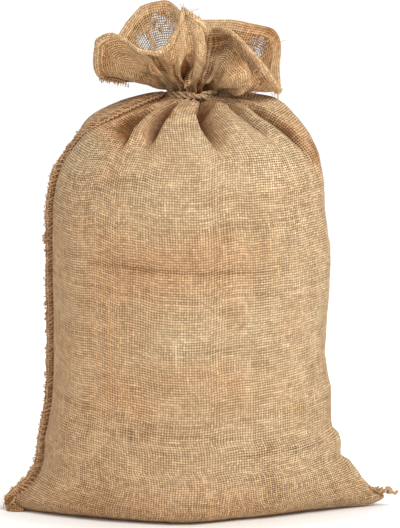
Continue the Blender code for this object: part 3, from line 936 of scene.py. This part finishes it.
def on_flange(along, out, over):
    """A point this far along the seam, out from its base, and over to the flange's back."""
    along, out, over = np.broadcast_arrays(np.atleast_1d(along), out, over)
    row = np.interp(along, seam_length, np.arange(row_count))
    low = np.clip(row.astype(int), 0, row_count - 2)
    high = (row - low)[:, None]
    step = np.clip(out / LAY_STEP, 0, len(lay_steps) - 1.001)
    near = step.astype(int)
    far = (step - near)[:, None]

    def beside(table, *place):
        return table[low, *place] * (1 - high) + table[low + 1, *place] * high

    def between(table):
        return beside(table, near) * (1 - far) + beside(table, near + 1) * far

    flat_share = np.interp(along, seam_length, lying)[:, None]
    lift = (FLANGE_THICK * 0.6 + np.maximum(out, 0) * 0.12 - over)[:, None]
    out, over, out_way = out[:, None], over[:, None], beside(seam_out)
    stands = beside(seam_base) + out_way * out + beside(seam_back) * over
    lies = between(laid) + between(laid_up) * lift + out_way * np.minimum(out, 0)
    return stands * (1 - flat_share) + lies * flat_share


def flange_reach(along):
    """How far the flange stands out at a place along the seam: more at the ear, none at the tie."""
    height = np.interp(along, seam_length, seam_base[:, 2])
    at_ear = 1 + FLANGE_AT_EAR * math.exp(-(((height - 0.030) / 0.030) ** 2))
    return FLANGE_WIDTH * at_ear * min(max((seam_length[-1] - along) / FLANGE_TAPER, 0.12), 1)


flange_steps = np.arange(0, seam_length[-1], FLANGE_STEP)
flange_edge = np.array([
    flange_reach(along)
    + EDGE_UNEVEN * noise.noise((along * 70, 0, 0))
    + EDGE_SCALLOP * abs(math.sin(along / STITCH_PITCH * math.pi))
    for along in flange_steps
])
flange = np.stack([
    on_flange(flange_steps, np.where(share > 0, flange_edge * share, -FLANGE_ROOT), side * FLANGE_THICK / 2)
    for share, side in FLANGE_SECTION
], axis=1)
overcast = []
for stitch in range(int((seam_length[-1] - SEAM_ENDS) / STITCH_PITCH) - 1):
    start = (stitch + 1.2) * STITCH_PITCH + random.uniform(-STITCH_OFF, STITCH_OFF)
    width = flange_reach(start) * random.uniform(*STITCH_WIDTHS)
    stand = FLANGE_THICK / 2 + STITCH_RADIUS * random.uniform(*STITCH_STANDS)
    slant = STITCH_SLANT * random.uniform(*STITCH_SLANTS)
    bulge = random.uniform(-STITCH_OFF, STITCH_OFF)
    along = start - slant * STITCH_ALONG + bulge * STITCH_BULGE
    route = on_flange(along, width * STITCH_OUT, stand * STITCH_OVER)
    bend = smooth_curve(range(9), route, np.linspace(0, 8, STITCH_STEPS))
    swell = 1 + 0.25 * np.sin(np.linspace(0, 5, STITCH_STEPS) + stitch)
    overcast.append(tube(bend, STITCH_RADIUS * random.uniform(*STITCH_GIRTHS) * swell, 6))
# The yarn that locks the stitches along the seam's base, in small scallops
lock_steps = np.arange(0.004, seam_length[-1] - 0.006, LOCK_STEP)
lock_wave = np.abs(np.sin(lock_steps / STITCH_PITCH * np.pi))
lock_over = -FLANGE_THICK / 2 - LOCK_STAND + 0.0003 * lock_wave
lock = on_flange(lock_steps, LOCK_OUT - LOCK_SCALLOP * lock_wave, lock_over)
overcast.append(tube(lock, LOCK_YARN + 0.00016 * lock_wave, 6))
# Cut threads and small loops along the flange's edge
for tuft in range(TUFTS):
    start = random.uniform(0.008, seam_length[-1] - 0.05)
    reach = flange_reach(start) * 0.86
    length = random.uniform(*TUFT_LENGTHS)
    drift = random.uniform(-TUFT_DRIFT, TUFT_DRIFT)
    aside = random.uniform(-TUFT_ASIDE, TUFT_ASIDE)
    if tuft % 4:
        share = np.array([0.0, 0.5, 1.0])
        route = on_flange(start + drift * share**2, reach + length * share, aside * (0.5 + share))
        radius = random.uniform(*TUFT_RADII) * np.array([1.0, 0.9, 0.5])
    else:
        bow = np.linspace(0, np.pi, 8)
        over = aside * (1 + bow / 3)
        route = on_flange(start + LOOP_HALF * np.cos(bow), reach + length * np.sin(bow), over)
        radius = random.uniform(*LOOP_RADII)
    overcast.append(tube(route, radius, 5))
flange[:, :, 2] = np.maximum(flange[:, :, 2], FLANGE_LOWEST)
# Painted shade in the hollow over the left ear, on top of the painted shade along the flange's base
hollow_shade = HOLLOW_PAINTED_SHADE * np.exp(-(((flange[:, :, 2] - HOLLOW_HEIGHT) / HOLLOW_REACH) ** 2))
flange_tone_and_shade = np.array(FLANGE_TONES_AND_SHADE) + hollow_shade
seam_flange = sheet_piece("seam_flange", flange, strip_maps(flange), body_cloth, tone=flange_tone_and_shade)
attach(seam_flange, "root")

# At the left ear the cloth's tip is folded under into a small flap that lies on the floor. Its
# ridge runs to the right, and each bend is how far back from the ridge and what share as high.
# The flap is drawn redder and darker than the cloth: painted shade, as it lies on the floor under the ear
FLAP_PAINTED_SHADE = 1.7
FLAP_RIDGE = (
    (-0.1810, -0.0015, 0.0036), (-0.1785, -0.0026, 0.0062), (-0.1740, -0.0038, 0.0062),
    (-0.1690, -0.0045, 0.0050), (-0.1650, -0.0035, 0.0034),
)
FLAP_BENDS = ((0.0030, 0.90), (0, 1), (-0.0012, 0.95), (-0.0028, 0.62), (-0.0034, 0.25), (-0.0028, 0.06))
flap = np.array([
    [(x, y + forward, max(height * share, FLANGE_LOWEST)) for forward, share in FLAP_BENDS]
    for x, y, height in smooth_curve(range(5), FLAP_RIDGE, np.linspace(0, 4, 15))
])
ear_flap = sheet_piece("ear_flap", flap, strip_maps(flap), body_cloth, tone=FLAP_PAINTED_SHADE)
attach(ear_flap, "root")

seam_yarn = yarn_material("seam_yarn", (0.60, 0.38, 0.21), (0.30, 0.15, 0.062))
stitches = piece_of_tubes("seam_stitches", overcast, seam_yarn)
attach(stitches, "root")

# ---------------------------------------------------------------------------------------------
# The open mouth: above the tie the same cloth spreads out again in a floppy ruffle with a low
# front, a high back, and a lobe at each end. Its hem is turned over to the outside and doubled.
HEM_WIDTH = 0.0072
# Angles are round the neck in degrees, -180 at the seam on the left, -90 at the front and 0 at
# the folded right side. Each rib gives the cloth's place low, half way up, and at the hem.
Rib = namedtuple("Rib", "angle low middle hem")
MOUTH = [Rib(*row) for row in (
    (-180, (-0.033, -0.002, 0.4128), (-0.061, -0.002, 0.4205), (-0.0905, -0.005, 0.4268)),
    (-170, (-0.034, -0.012, 0.415), (-0.06, -0.024, 0.425), (-0.095, -0.019, 0.438)),
    (-160, (-0.033, -0.021, 0.42), (-0.06, -0.036, 0.4335), (-0.0935, -0.032, 0.456)),
    (-149, (-0.031, -0.026, 0.421), (-0.053, -0.044, 0.436), (-0.078, -0.045, 0.464)),
    (-139, (-0.028, -0.029, 0.42), (-0.045, -0.049, 0.437), (-0.065, -0.053, 0.457)),
    (-129, (-0.025, -0.031, 0.419), (-0.039, -0.05, 0.434), (-0.052, -0.061, 0.447)),
    (-119, (-0.02, -0.029, 0.419), (-0.031, -0.042, 0.431), (-0.039, -0.064, 0.4455)),
    (-110, (-0.0145, -0.031, 0.421), (-0.0195, -0.05, 0.435), (-0.0235, -0.056, 0.458)),
    (-102, (-0.0095, -0.029, 0.423), (-0.011, -0.051, 0.441), (-0.015, -0.048, 0.476)),
    (-99, (-0.0065, -0.0195, 0.4225), (-0.007, -0.0455, 0.445), (-0.0125, -0.0475, 0.484)),
    (-96, (-0.004, -0.029, 0.4235), (-0.0025, -0.046, 0.448), (-0.0105, -0.044, 0.488)),
    (-90, (-0.0005, -0.033, 0.424), (0.004, -0.049, 0.449), (-0.001, -0.045, 0.481)),
    (-84, (0.0055, -0.031, 0.4255), (0.0105, -0.045, 0.447), (0.0088, -0.039, 0.472)),
    (-81, (0.005, -0.025, 0.424), (0.009, -0.034, 0.446), (0.0085, -0.029, 0.469)),
    (-78, (0.0025, -0.02, 0.421), (0.0035, -0.024, 0.441), (0.0065, -0.021, 0.465)),
    (-71, (0.009, -0.02, 0.42), (0.015, -0.02, 0.44), (0.017, -0.019, 0.471)),
    (-60, (0.0145, -0.024, 0.418), (0.0295, -0.029, 0.444), (0.028, -0.034, 0.47)),
    (-48, (0.02, -0.022, 0.417), (0.042, -0.04, 0.439), (0.04, -0.045, 0.463)),
    (-36, (0.0245, -0.021, 0.415), (0.049, -0.047, 0.43), (0.053, -0.049, 0.449)),
    (-24, (0.029, -0.02, 0.41), (0.052, -0.045, 0.419), (0.066, -0.043, 0.435)),
    (-12, (0.0335, -0.015, 0.4062), (0.0495, -0.034, 0.4095), (0.0775, -0.029, 0.422)),
    (0, (0.0365, -0.004, 0.4045), (0.047, -0.01, 0.4052), (0.0865, -0.009, 0.412)),
    (13, (0.036, 0.006, 0.4075), (0.0505, 0.014, 0.414), (0.0865, 0.012, 0.43)),
    (27, (0.035, 0.014, 0.416), (0.058, 0.03, 0.43), (0.0895, 0.029, 0.457)),
    (41, (0.033, 0.02, 0.42), (0.058, 0.041, 0.44), (0.0835, 0.04, 0.4735)),
    (56, (0.027, 0.025, 0.423), (0.044, 0.046, 0.444), (0.062, 0.046, 0.48)),
    (72, (0.017, 0.027, 0.424), (0.027, 0.045, 0.447), (0.038, 0.045, 0.4835)),
    (87, (0.007, 0.026, 0.424), (0.01, 0.04, 0.447), (0.015, 0.04, 0.483)),
    (101, (-0.003, 0.026, 0.425), (-0.005, 0.042, 0.451), (-0.006, 0.042, 0.49)),
    (115, (-0.011, 0.028, 0.428), (-0.018, 0.047, 0.458), (-0.024, 0.048, 0.5025)),
    (128, (-0.019, 0.028, 0.427), (-0.033, 0.048, 0.456), (-0.0455, 0.049, 0.4982)),
    (141, (-0.026, 0.026, 0.423), (-0.044, 0.042, 0.447), (-0.06, 0.043, 0.484)),
    (155, (-0.031, 0.02, 0.419), (-0.052, 0.032, 0.435), (-0.073, 0.031, 0.464)),
    (168, (-0.034, 0.01, 0.414), (-0.058, 0.015, 0.426), (-0.085, 0.013, 0.443)),
)]
# Places where the limp cloth stands out or falls in: the rib's angle, how far up the rib, how far
# it reaches round in degrees and up, and how far it moves.
Push = namedtuple("Push", "angle share round_way up_way amount")
PUSHES = [Push(*row) for row in (
    (-38, 0.46, 22, 0.12, 0.011),
    (-62, 0.8, 12, 0.12, -0.011),
    (-30, 0.76, 16, 0.1, -0.007),
    (-70, 0.4, 6, 0.12, -0.005),
    (-54, 0.13, 11, 0.09, -0.013),
    (-100, 0.36, 4, 0.14, -0.0045),
    (-122, 0.55, 7, 0.26, -0.012),
    (-132, 0.5, 5, 0.14, 0.005),
    (-90, 0.55, 5, 0.3, 0.004),
    (-108, 0.62, 5, 0.16, 0.005),
    (-150, 0.7, 12, 0.16, 0.004),
    (-137, 0.35, 7, 0.12, 0.004),
    (-165, 0.4, 8, 0.15, -0.005),
    (-10, 0.3, 12, 0.12, -0.004),
    (60, 0.6, 10, 0.25, 0.006),
    (80, 0.65, 8, 0.25, -0.007),
    (104, 0.55, 7, 0.25, -0.006),
    (134, 0.65, 4, 0.25, -0.006),
    (155, 0.6, 9, 0.2, 0.005),
)]
# Where the weave is pulled open, all by the same amount
PULLED_OPEN = 0.65
OPENINGS = [Push(*row, PULLED_OPEN) for row in (
    (119, 0.64, 11, 0.24),
    (139, 0.67, 4.6, 0.16),
    (42, 0.64, 15, 0.21),
)]
# Patches of the ruffle that are deeper, as painted shade in its hollows and creases and under its
# hem, or paler where the amount is negative, as painted light on its lips and ridges
MOUTH_LIGHT_AND_SHADE = [Push(*row) for row in (
    (-64, 0.85, 10, 0.05, 1.6),
    (-64, 0.62, 9, 0.2, -0.9),
    (-46, 0.66, 7, 0.14, 0.9),
    (-100, 0.3, 4, 0.2, 1.8),
    (-122, 0.55, 8, 0.26, 0.9),
    (-72, 0.05, 14, 0.14, 1.6),
    (-40, 0.06, 14, 0.1, 1.6),
    (-30, 0.6, 22, 0.12, -0.3),
    (-165, 0.86, 12, 0.07, 0.9),
    (-18, 0.8, 12, 0.12, 0.8),
    (-150, 0.55, 14, 0.25, 0.2),
    (-90, 0.3, 5, 0.2, -0.4),
    (-94, 0.85, 7, 0.22, -1.6),
    (38, 0.82, 16, 0.1, 1.1),
    (44, 0.99, 22, 0.08, 1.9),
    (-87, 1, 8, 0.1, -1.2),
    (120, 0.99, 16, 0.05, 0.9),
)]
RING_SHARES = (0.0, 0.07, 0.28, 0.60, 1.0)
NECK_WIDTH = 0.0235
NECK_DEPTH = 0.0190
NECK_ABOVE = 0.0010
NECK_SAG = (0.0032, 0, -0.0042)
MOUTH_COLUMNS = 420
MOUTH_ROWS = 58
HEM_FROM = MOUTH_ROWS - 6
MOUTH_PLEATS = 14
PLEAT_SHARES = (0.0, 0.10, 0.28, 0.60, 0.90)
PLEAT_DEPTHS = (0.0125, 0.0135, 0.0100, 0.0034, 0.0)
# The hem's turn: how far down from its edge, in hem widths, and how far off the cloth
HEM_TURN = ((-0.06, 0.0008), (0.02, 0.0020), (0.15, 0.0028), (0.40, 0.0031),
            (0.70, 0.0028), (0.90, 0.0022), (0.99, 0.0011), (1.00, 0.0001))
HEM_DENSE = -0.7
RUFFLE_TONE = 0.5
# Painted shadow along the hem's lower edge, where it is turned onto the cloth
HEM_EDGE_PAINTED_SHADOW = 1.4
HEM_PALER = 0.8
RUFFLE = 0.0024
MOUTH_TOP = 0.660


def ring(angles, part):
    """Points at these angles on the ring through one part of every rib."""
    points = [getattr(rib, part) for rib in MOUTH]
    return smooth_curve([rib.angle for rib in MOUTH], points, angles, period=360)


def mouth_rows(angles, shares):
    """The ruffle's cloth without its gathers, as rows from the neck up to the hem."""
    across, along = np.cos(np.radians(angles)), np.sin(np.radians(angles))
    inside_tie = np.full_like(angles, tie_low.z + 0.002)
    neck = np.stack([NECK_WIDTH * across, NECK_DEPTH * along, inside_tie], axis=1)
    sag = np.clip(across, 0, 1)[:, None] ** 4
    above = neck * (1.06, 1.06, 0) + (0, 0, tie_high.z + NECK_ABOVE) + sag * NECK_SAG
    rings = neck, above, *(ring(angles, part) for part in ("low", "middle", "hem"))
    flat = [points.ravel() for points in rings]
    return smooth_curve(RING_SHARES, flat, shares).reshape(len(shares), len(angles), 3)


# Columns at an even distance along the hem
fine_angles = np.linspace(-180, 180, 1441)
hem_run = lengths_along(ring(fine_angles, "hem"))
mouth_angles = np.interp(np.linspace(0, hem_run[-1], MOUTH_COLUMNS), hem_run, fine_angles)
mouth_shares = np.linspace(0, 1, MOUTH_ROWS)
mouth = mouth_rows(mouth_angles, mouth_shares)
mouth_out = surface_normals(mouth)

# Gathers that run up from the tie and die out, and the uneven waves of limp cloth
mouth_columns = np.linspace(0, 1, MOUTH_COLUMNS)
pleat_drift, pleat_size = (
    np.array([noise.noise((share * often, aside, 0)) for share in mouth_columns])
    for often, aside in ((9, 3.1), (14, 8.2))
)
gather = 0.5 - 0.5 * np.cos(2 * np.pi * (mouth_columns * MOUTH_PLEATS + 0.8 * pleat_drift))
gather_depth = np.interp(mouth_shares, PLEAT_SHARES, PLEAT_DEPTHS)[:, None] * (1 + 0.9 * pleat_size)
mouth = mouth - mouth_out * (gather_depth * gather)[:, :, None]


def pushed(push, shares):
    """How much of a push is felt at each of the ruffle's points, on rows this far up."""
    away = (mouth_angles - push.angle + 180) % 360 - 180
    return push.amount * bump_at(away, shares[:, None] - push.share, push.round_way, push.up_way)


for push in PUSHES:
    mouth = mouth + mouth_out * pushed(push, mouth_shares)[:, :, None]
for spot in np.ndindex(mouth.shape[:2]):
    x, y, z = mouth[spot]
    wave = noise.noise((x * 45, y * 45, z * 45)) + 0.4 * noise.noise((x * 120, y * 120, z * 120))
    mouth[spot] += mouth_out[spot] * RUFFLE * wave * min(mouth_shares[spot[0]] * 2.5, 1)

# The doubled hem, turned over to the outside
mouth_out = surface_normals(mouth)
below_hem = lengths_along(mouth[::-1])
hem_top = unit(mouth[-1] - mouth[-3]) * HEM_WIDTH
hem_rows = []
for down, stand in HEM_TURN:
    line = read_lines(mouth[::-1].transpose(1, 0, 2), below_hem.T, max(down, 0) * HEM_WIDTH)
    hem_rows.append(line - hem_top * min(down, 0) + mouth_out[-2] * stand)
ruffle = np.concatenate([mouth, hem_rows])
ruffle_up = lengths_along(ruffle)
ruffle_up = ruffle_up - ruffle_up[MOUTH_ROWS - 1] + MOUTH_TOP
ruffle_round = np.broadcast_to(mouth_columns * hem_run[-1], ruffle_up.shape)
ruffle_maps = corner_maps(ruffle_round[:, :-1], ruffle_round[:, 1:], ruffle_up)
ruffle_cloth = cloth_material("open_burlap", 0.112, 0.132, 0.20, tint=(1.09, 1.01, 0.92), sheer=True)
ruffle_shares = np.append(mouth_shares, np.ones(len(hem_rows)))
sheer = np.max([pushed(opening, ruffle_shares) for opening in OPENINGS], axis=0)
sheer[HEM_FROM:] = HEM_DENSE
ruffle_tone = RUFFLE_TONE + sum(pushed(patch, ruffle_shares) for patch in MOUTH_LIGHT_AND_SHADE)
ruffle_tone[HEM_FROM:] -= HEM_PALER
# Painted shadow under the turned hem's lower edge
ruffle_tone[-3:] += HEM_EDGE_PAINTED_SHADOW
sack_mouth = sheet_piece("sack_mouth", ruffle, ruffle_maps, ruffle_cloth, tone=ruffle_tone, sheer=sheer)
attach(sack_mouth, "root")

# ---------------------------------------------------------------------------------------------
# The tie: two-ply jute twine, wound twice round the neck, one turn crossing over the other at
# the front, and knotted plainly at the back. No end hangs free.
TWINE_TWIST = 0.0150
PLY_RADIUS = 0.00122
PLY_OFFSET = 0.00112
TIE_STEPS = 520
TIE_WIDTH = 0.0250
TIE_DEPTH = 0.0218
TIE_HEIGHTS = (
    (-270, 0.4052), (-215, 0.4058), (-180, 0.4060), (-130, 0.4054), (-100, 0.4046), (-86, 0.4048),
    (-74, 0.4062), (-60, 0.4084), (-44, 0.4092), (0, 0.4086), (90, 0.4084),
    (180, 0.4086), (222, 0.4086), (250, 0.4080), (266, 0.4068), (282, 0.4052),
    (300, 0.4046), (330, 0.4046), (390, 0.4048), (450, 0.4050),
)
# Where a turn passes over or under another: the angle along the twine and how far it stands out
TIE_CROSSINGS = ((278, 0.0026, 16), (222, -0.0016, 34), (-60, -0.0004, 20), (-110, 0.0008, 30))
TIE_UNEVEN = 0.0004
# The knot's wrap behind the neck: its middle, half its size each way, and its turns
TIE_KNOT_PLACE = (-0.001, TIE_DEPTH + 0.0006, 0.4062)
TIE_KNOT_HALF = (0.0034, 0.0022, 0.0040)
TIE_KNOT_TURNS = 1.2

tie_angles = np.linspace(TIE_HEIGHTS[0][0], TIE_HEIGHTS[-1][0], TIE_STEPS)
tie_places, tie_heights = np.transpose(TIE_HEIGHTS)
tie_heights = smooth_curve(tie_places, tie_heights[:, None], tie_angles)[:, 0]
turned_out = sum(
    far * np.exp(-(((tie_angles - angle) / reach) ** 2)) for angle, far, reach in TIE_CROSSINGS
)
turned_out += TIE_UNEVEN * np.sin(np.radians(tie_angles * 6.3))
tie_line = np.stack([
    (TIE_WIDTH + turned_out) * np.cos(np.radians(tie_angles)),
    (TIE_DEPTH + turned_out) * np.sin(np.radians(tie_angles)),
    tie_heights,
], axis=1)
steps = np.arange(TIE_STEPS)
ply_swell = 1 + 0.16 * np.sin(steps * 0.37) * np.sin(steps * 0.083)
twine = twisted(tie_line, PLY_RADIUS * ply_swell, PLY_OFFSET, TWINE_TWIST, 7)
# The knot at the back: a short wrap round both turns
knot_steps = np.linspace(0, 2 * TIE_KNOT_TURNS * np.pi, 40)
knot_round = np.stack([np.cos(knot_steps * 0.5), np.cos(knot_steps), np.sin(knot_steps)], axis=1)
knot_line = TIE_KNOT_PLACE + TIE_KNOT_HALF * knot_round
twine += twisted(knot_line, PLY_RADIUS * 0.9, 0.0006, TWINE_TWIST, 7)
twine_yarn = yarn_material("twine", (0.56, 0.37, 0.205), (0.12, 0.058, 0.022))
tie = piece_of_tubes("neck_tie", twine, twine_yarn)
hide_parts("tie")
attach(tie, "root")

# ---------------------------------------------------------------------------------------------
# The frayed ends: the seam's raw edge on up the ruffle's left corner, cut threads along the
# turned hem, and the short hairs that stand off all jute cloth. None of them carries anything.
CORNER_WIDTH = 0.0052
CORNER_FROM = 0.56
# The strip is drawn redder and darker than the cloth: painted shade on its hanging underside
CORNER_PAINTED_SHADE = 1.25
CORNER_RAGGED = 0.30
CORNER_HANGS = unit(np.array((0.18, -0.30, -0.92)))
CORNER_SECTION = ((-0.1, 0.0005), (0.3, -0.0012), (0.7, -0.0014), (1.0, -0.0003),
                  (0.7, 0.0014), (0.3, 0.0014), (-0.1, 0.0010))
CORNER_STITCHES = 7
# How many there are of each kind of thread and hair, and the spans of their length and radius
CORNER_THREADS = 38
CORNER_SIZES = ((0.0015, 0.0050), (0.0003, 0.0006))
RIGHT_THREADS = 9
RIGHT_SIZES = ((0.004, 0.011), (0.0002, 0.0004))
STRAY_ENDS = 34
STRAY_SIZES = ((0.002, 0.006), (0.00015, 0.00032))
PEAK_ENDS = 10
PEAK_SIZES = ((0.003, 0.008), (0.00015, 0.00032))
BODY_HAIRS = 1500
BODY_HAIR_SIZES = ((0.0010, 0.0030), (0.00008, 0.00014))
HEM_HAIRS = 520
HEM_HAIR_SIZES = ((0.0015, 0.0045), (0.00008, 0.00016))
TIE_HAIRS = 90
TIE_HAIR_SIZES = ((0.002, 0.0035), (0.0001, 0.0002))
# Where they stand on the ruffle, as spans of the angle and of the share of the way up. A pulled
# thread also turns and reaches down, and a hair is lifted a little off the cloth.
PULLED_THREADS = 54
PULLED_PLACES = ((-46, -6), (0.80, 1.0), (-5, 9), (0.06, 0.22))
PULLED_RADII = (0.00022, 0.00045)
RIGHT_PLACES = ((-14, 4), (0.90, 1.0))
HEM_HAIR_PLACES = ((-180, 180), (0.94, 1.0), (0, 0.002))
PEAK_ANGLES = (-99, -88)
STRAY_ANGLES = (-178, 178)


def on_mouth(angle, share, lift=0.0):
    """A point on the ruffle, lifted off its outer side."""
    column = np.interp(angle, mouth_angles, np.arange(MOUTH_COLUMNS))
    row = np.clip(share, 0, 1) * (MOUTH_ROWS - 1)
    low, left = min(int(row), MOUTH_ROWS - 2), min(int(column), MOUTH_COLUMNS - 2)
    up, across = row - low, column - left
    near = slice(low, low + 2), slice(left, left + 2)
    share = np.outer((1 - up, up), (1 - across, across))[:, :, None]
    return (share * (mouth[near] + lift * mouth_out[near])).sum(axis=(0, 1))


def strand(points, radius, steps=7, sides=4):
    """A loose thread through a few points, thinner at its end."""
    line = smooth_curve(range(len(points)), points, np.linspace(0, len(points) - 1, steps))
    return tube(line, radius * np.linspace(1.0, 0.55, steps), sides)


def free_end(start, half_way, end, length, *thickness):
    """A loose thread of this length from its start, by the two directions it takes."""
    return strand([start, start + half_way * length, start + end * length], *thickness)


def vary(*spans):
    """A number drawn from each of these spans."""
    return np.array([random.uniform(*span) for span in spans])


# The flange's strip on the ruffle, with its ragged edge hanging down
corner = []
for share in np.linspace(CORNER_FROM, 1.0, 26):
    fall = CORNER_WIDTH * min((share - CORNER_FROM) / 0.25 + 0.15, 1)
    fall *= 1 + CORNER_RAGGED * noise.noise((share * 16, 0.4, 0))
    edge = on_mouth(-180, share)
    corner.append([edge + CORNER_HANGS * fall * part + (0, bow, 0) for part, bow in CORNER_SECTION])
corner = np.array(corner)
mouth_flange = sheet_piece("mouth_flange", corner, strip_maps(corner), body_cloth, tone=CORNER_PAINTED_SHADE)
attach(mouth_flange, "root")

# Cut threads along the strip's edge
threads = []
for end in range(CORNER_THREADS):
    share = random.uniform(CORNER_FROM + 0.05, 1.0)
    start = on_mouth(-180, share) + CORNER_HANGS * CORNER_WIDTH * random.uniform(0.5, 0.95)
    drift = np.append(vary((-0.5, 0.5), (-0.6, 0.3)), -1)
    size = vary(*CORNER_SIZES)
    threads.append(free_end(start, drift / 2, drift * (1, 0.6, 0.9), *size))
# Stitches that bind the strip
for stitch in range(CORNER_STITCHES):
    share = CORNER_FROM + 0.06 + stitch * 0.055
    start = on_mouth(-180, share, 0.0004)
    below = on_mouth(-180, share + 0.05) + CORNER_HANGS * CORNER_WIDTH
    middle = (start + below) / 2 + (0, -0.0022, 0)
    threads.append(strand([start, middle, below + (0, -0.0006, 0)], 0.0006, 8, 6))
# Pulled threads along the right of the front hem, lying down over the cloth
for end in range(PULLED_THREADS):
    angle, share, turned, reach = vary(*PULLED_PLACES)
    points = [
        on_mouth(angle + turned * part, share - reach * part, 0.0024 + 0.0016 * math.sin(part * 3))
        for part in (0, 0.35, 0.7, 1)
    ]
    threads.append(strand(points, random.uniform(*PULLED_RADII), 8))
# Threads that hang from the right corner
for end in range(RIGHT_THREADS):
    start = on_mouth(*vary(*RIGHT_PLACES), 0.001)
    drift = np.append(vary((-0.35, 0.15), (-0.3, 0.1)), -1)
    size = vary(*RIGHT_SIZES)
    threads.append(free_end(start, drift / 2, drift * (0.4, 1, 1), *size))
# Stray ends at the peak of the middle fold and over the rest of the hem
for end in range(STRAY_ENDS):
    peak = end < PEAK_ENDS
    start = on_mouth(random.uniform(*(PEAK_ANGLES if peak else STRAY_ANGLES)), 0.99)
    drift = vary((-0.4 if peak else -1, 1), (-0.6, 0.6), (-0.2, 1.0))
    bend = np.insert(vary((-0.5, 0.5), (-0.5, 0.5)), 1, 0)
    size = vary(*(PEAK_SIZES if peak else STRAY_SIZES))
    threads.append(free_end(start, drift / 2, drift + bend, *size))
loose = piece_of_tubes("loose_threads", threads, seam_yarn)
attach(loose, "root")

# Short hairs on the body, along the hem and on the tie
hairs = []
for hair in range(BODY_HAIRS):
    row = random.integers(4, row_count - 8)
    column = random.integers(2, BODY_COLUMNS - 2)
    lean = unit(body[row + 2, column] - body[row - 2, column]) * random.uniform(-1, 1)
    lean = lean + unit(body[row, column + 1] - body[row, column - 1]) * random.uniform(-1, 1)
    rise = outward[row, column] * random.uniform(0.3, 1.0)
    length, radius = vary(*BODY_HAIR_SIZES)
    way, end = (lean + rise) * 0.6, lean * 1.6 + rise * 0.8
    hairs.append(free_end(body[row, column], way, end, length, radius, 4, 3))
for hair in range(HEM_HAIRS):
    start = on_mouth(*vary(*HEM_HAIR_PLACES))
    lean = random.uniform(-1, 1, 3)
    bend = random.uniform(-0.6, 0.6, 3)
    size = vary(*HEM_HAIR_SIZES)
    hairs.append(free_end(start, lean * 0.6, lean + bend, *size, 5, 3))
for hair in range(TIE_HAIRS):
    start = tie_line[random.integers(0, TIE_STEPS)]
    lean = random.uniform(-1, 1, 3)
    size = vary(*TIE_HAIR_SIZES)
    hairs.append(free_end(start, lean * 0.6, lean * (1, 1, 0.4), *size, 4, 3))
fuzz = piece_of_tubes("jute_hairs", hairs, seam_yarn)
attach(fuzz, "root")
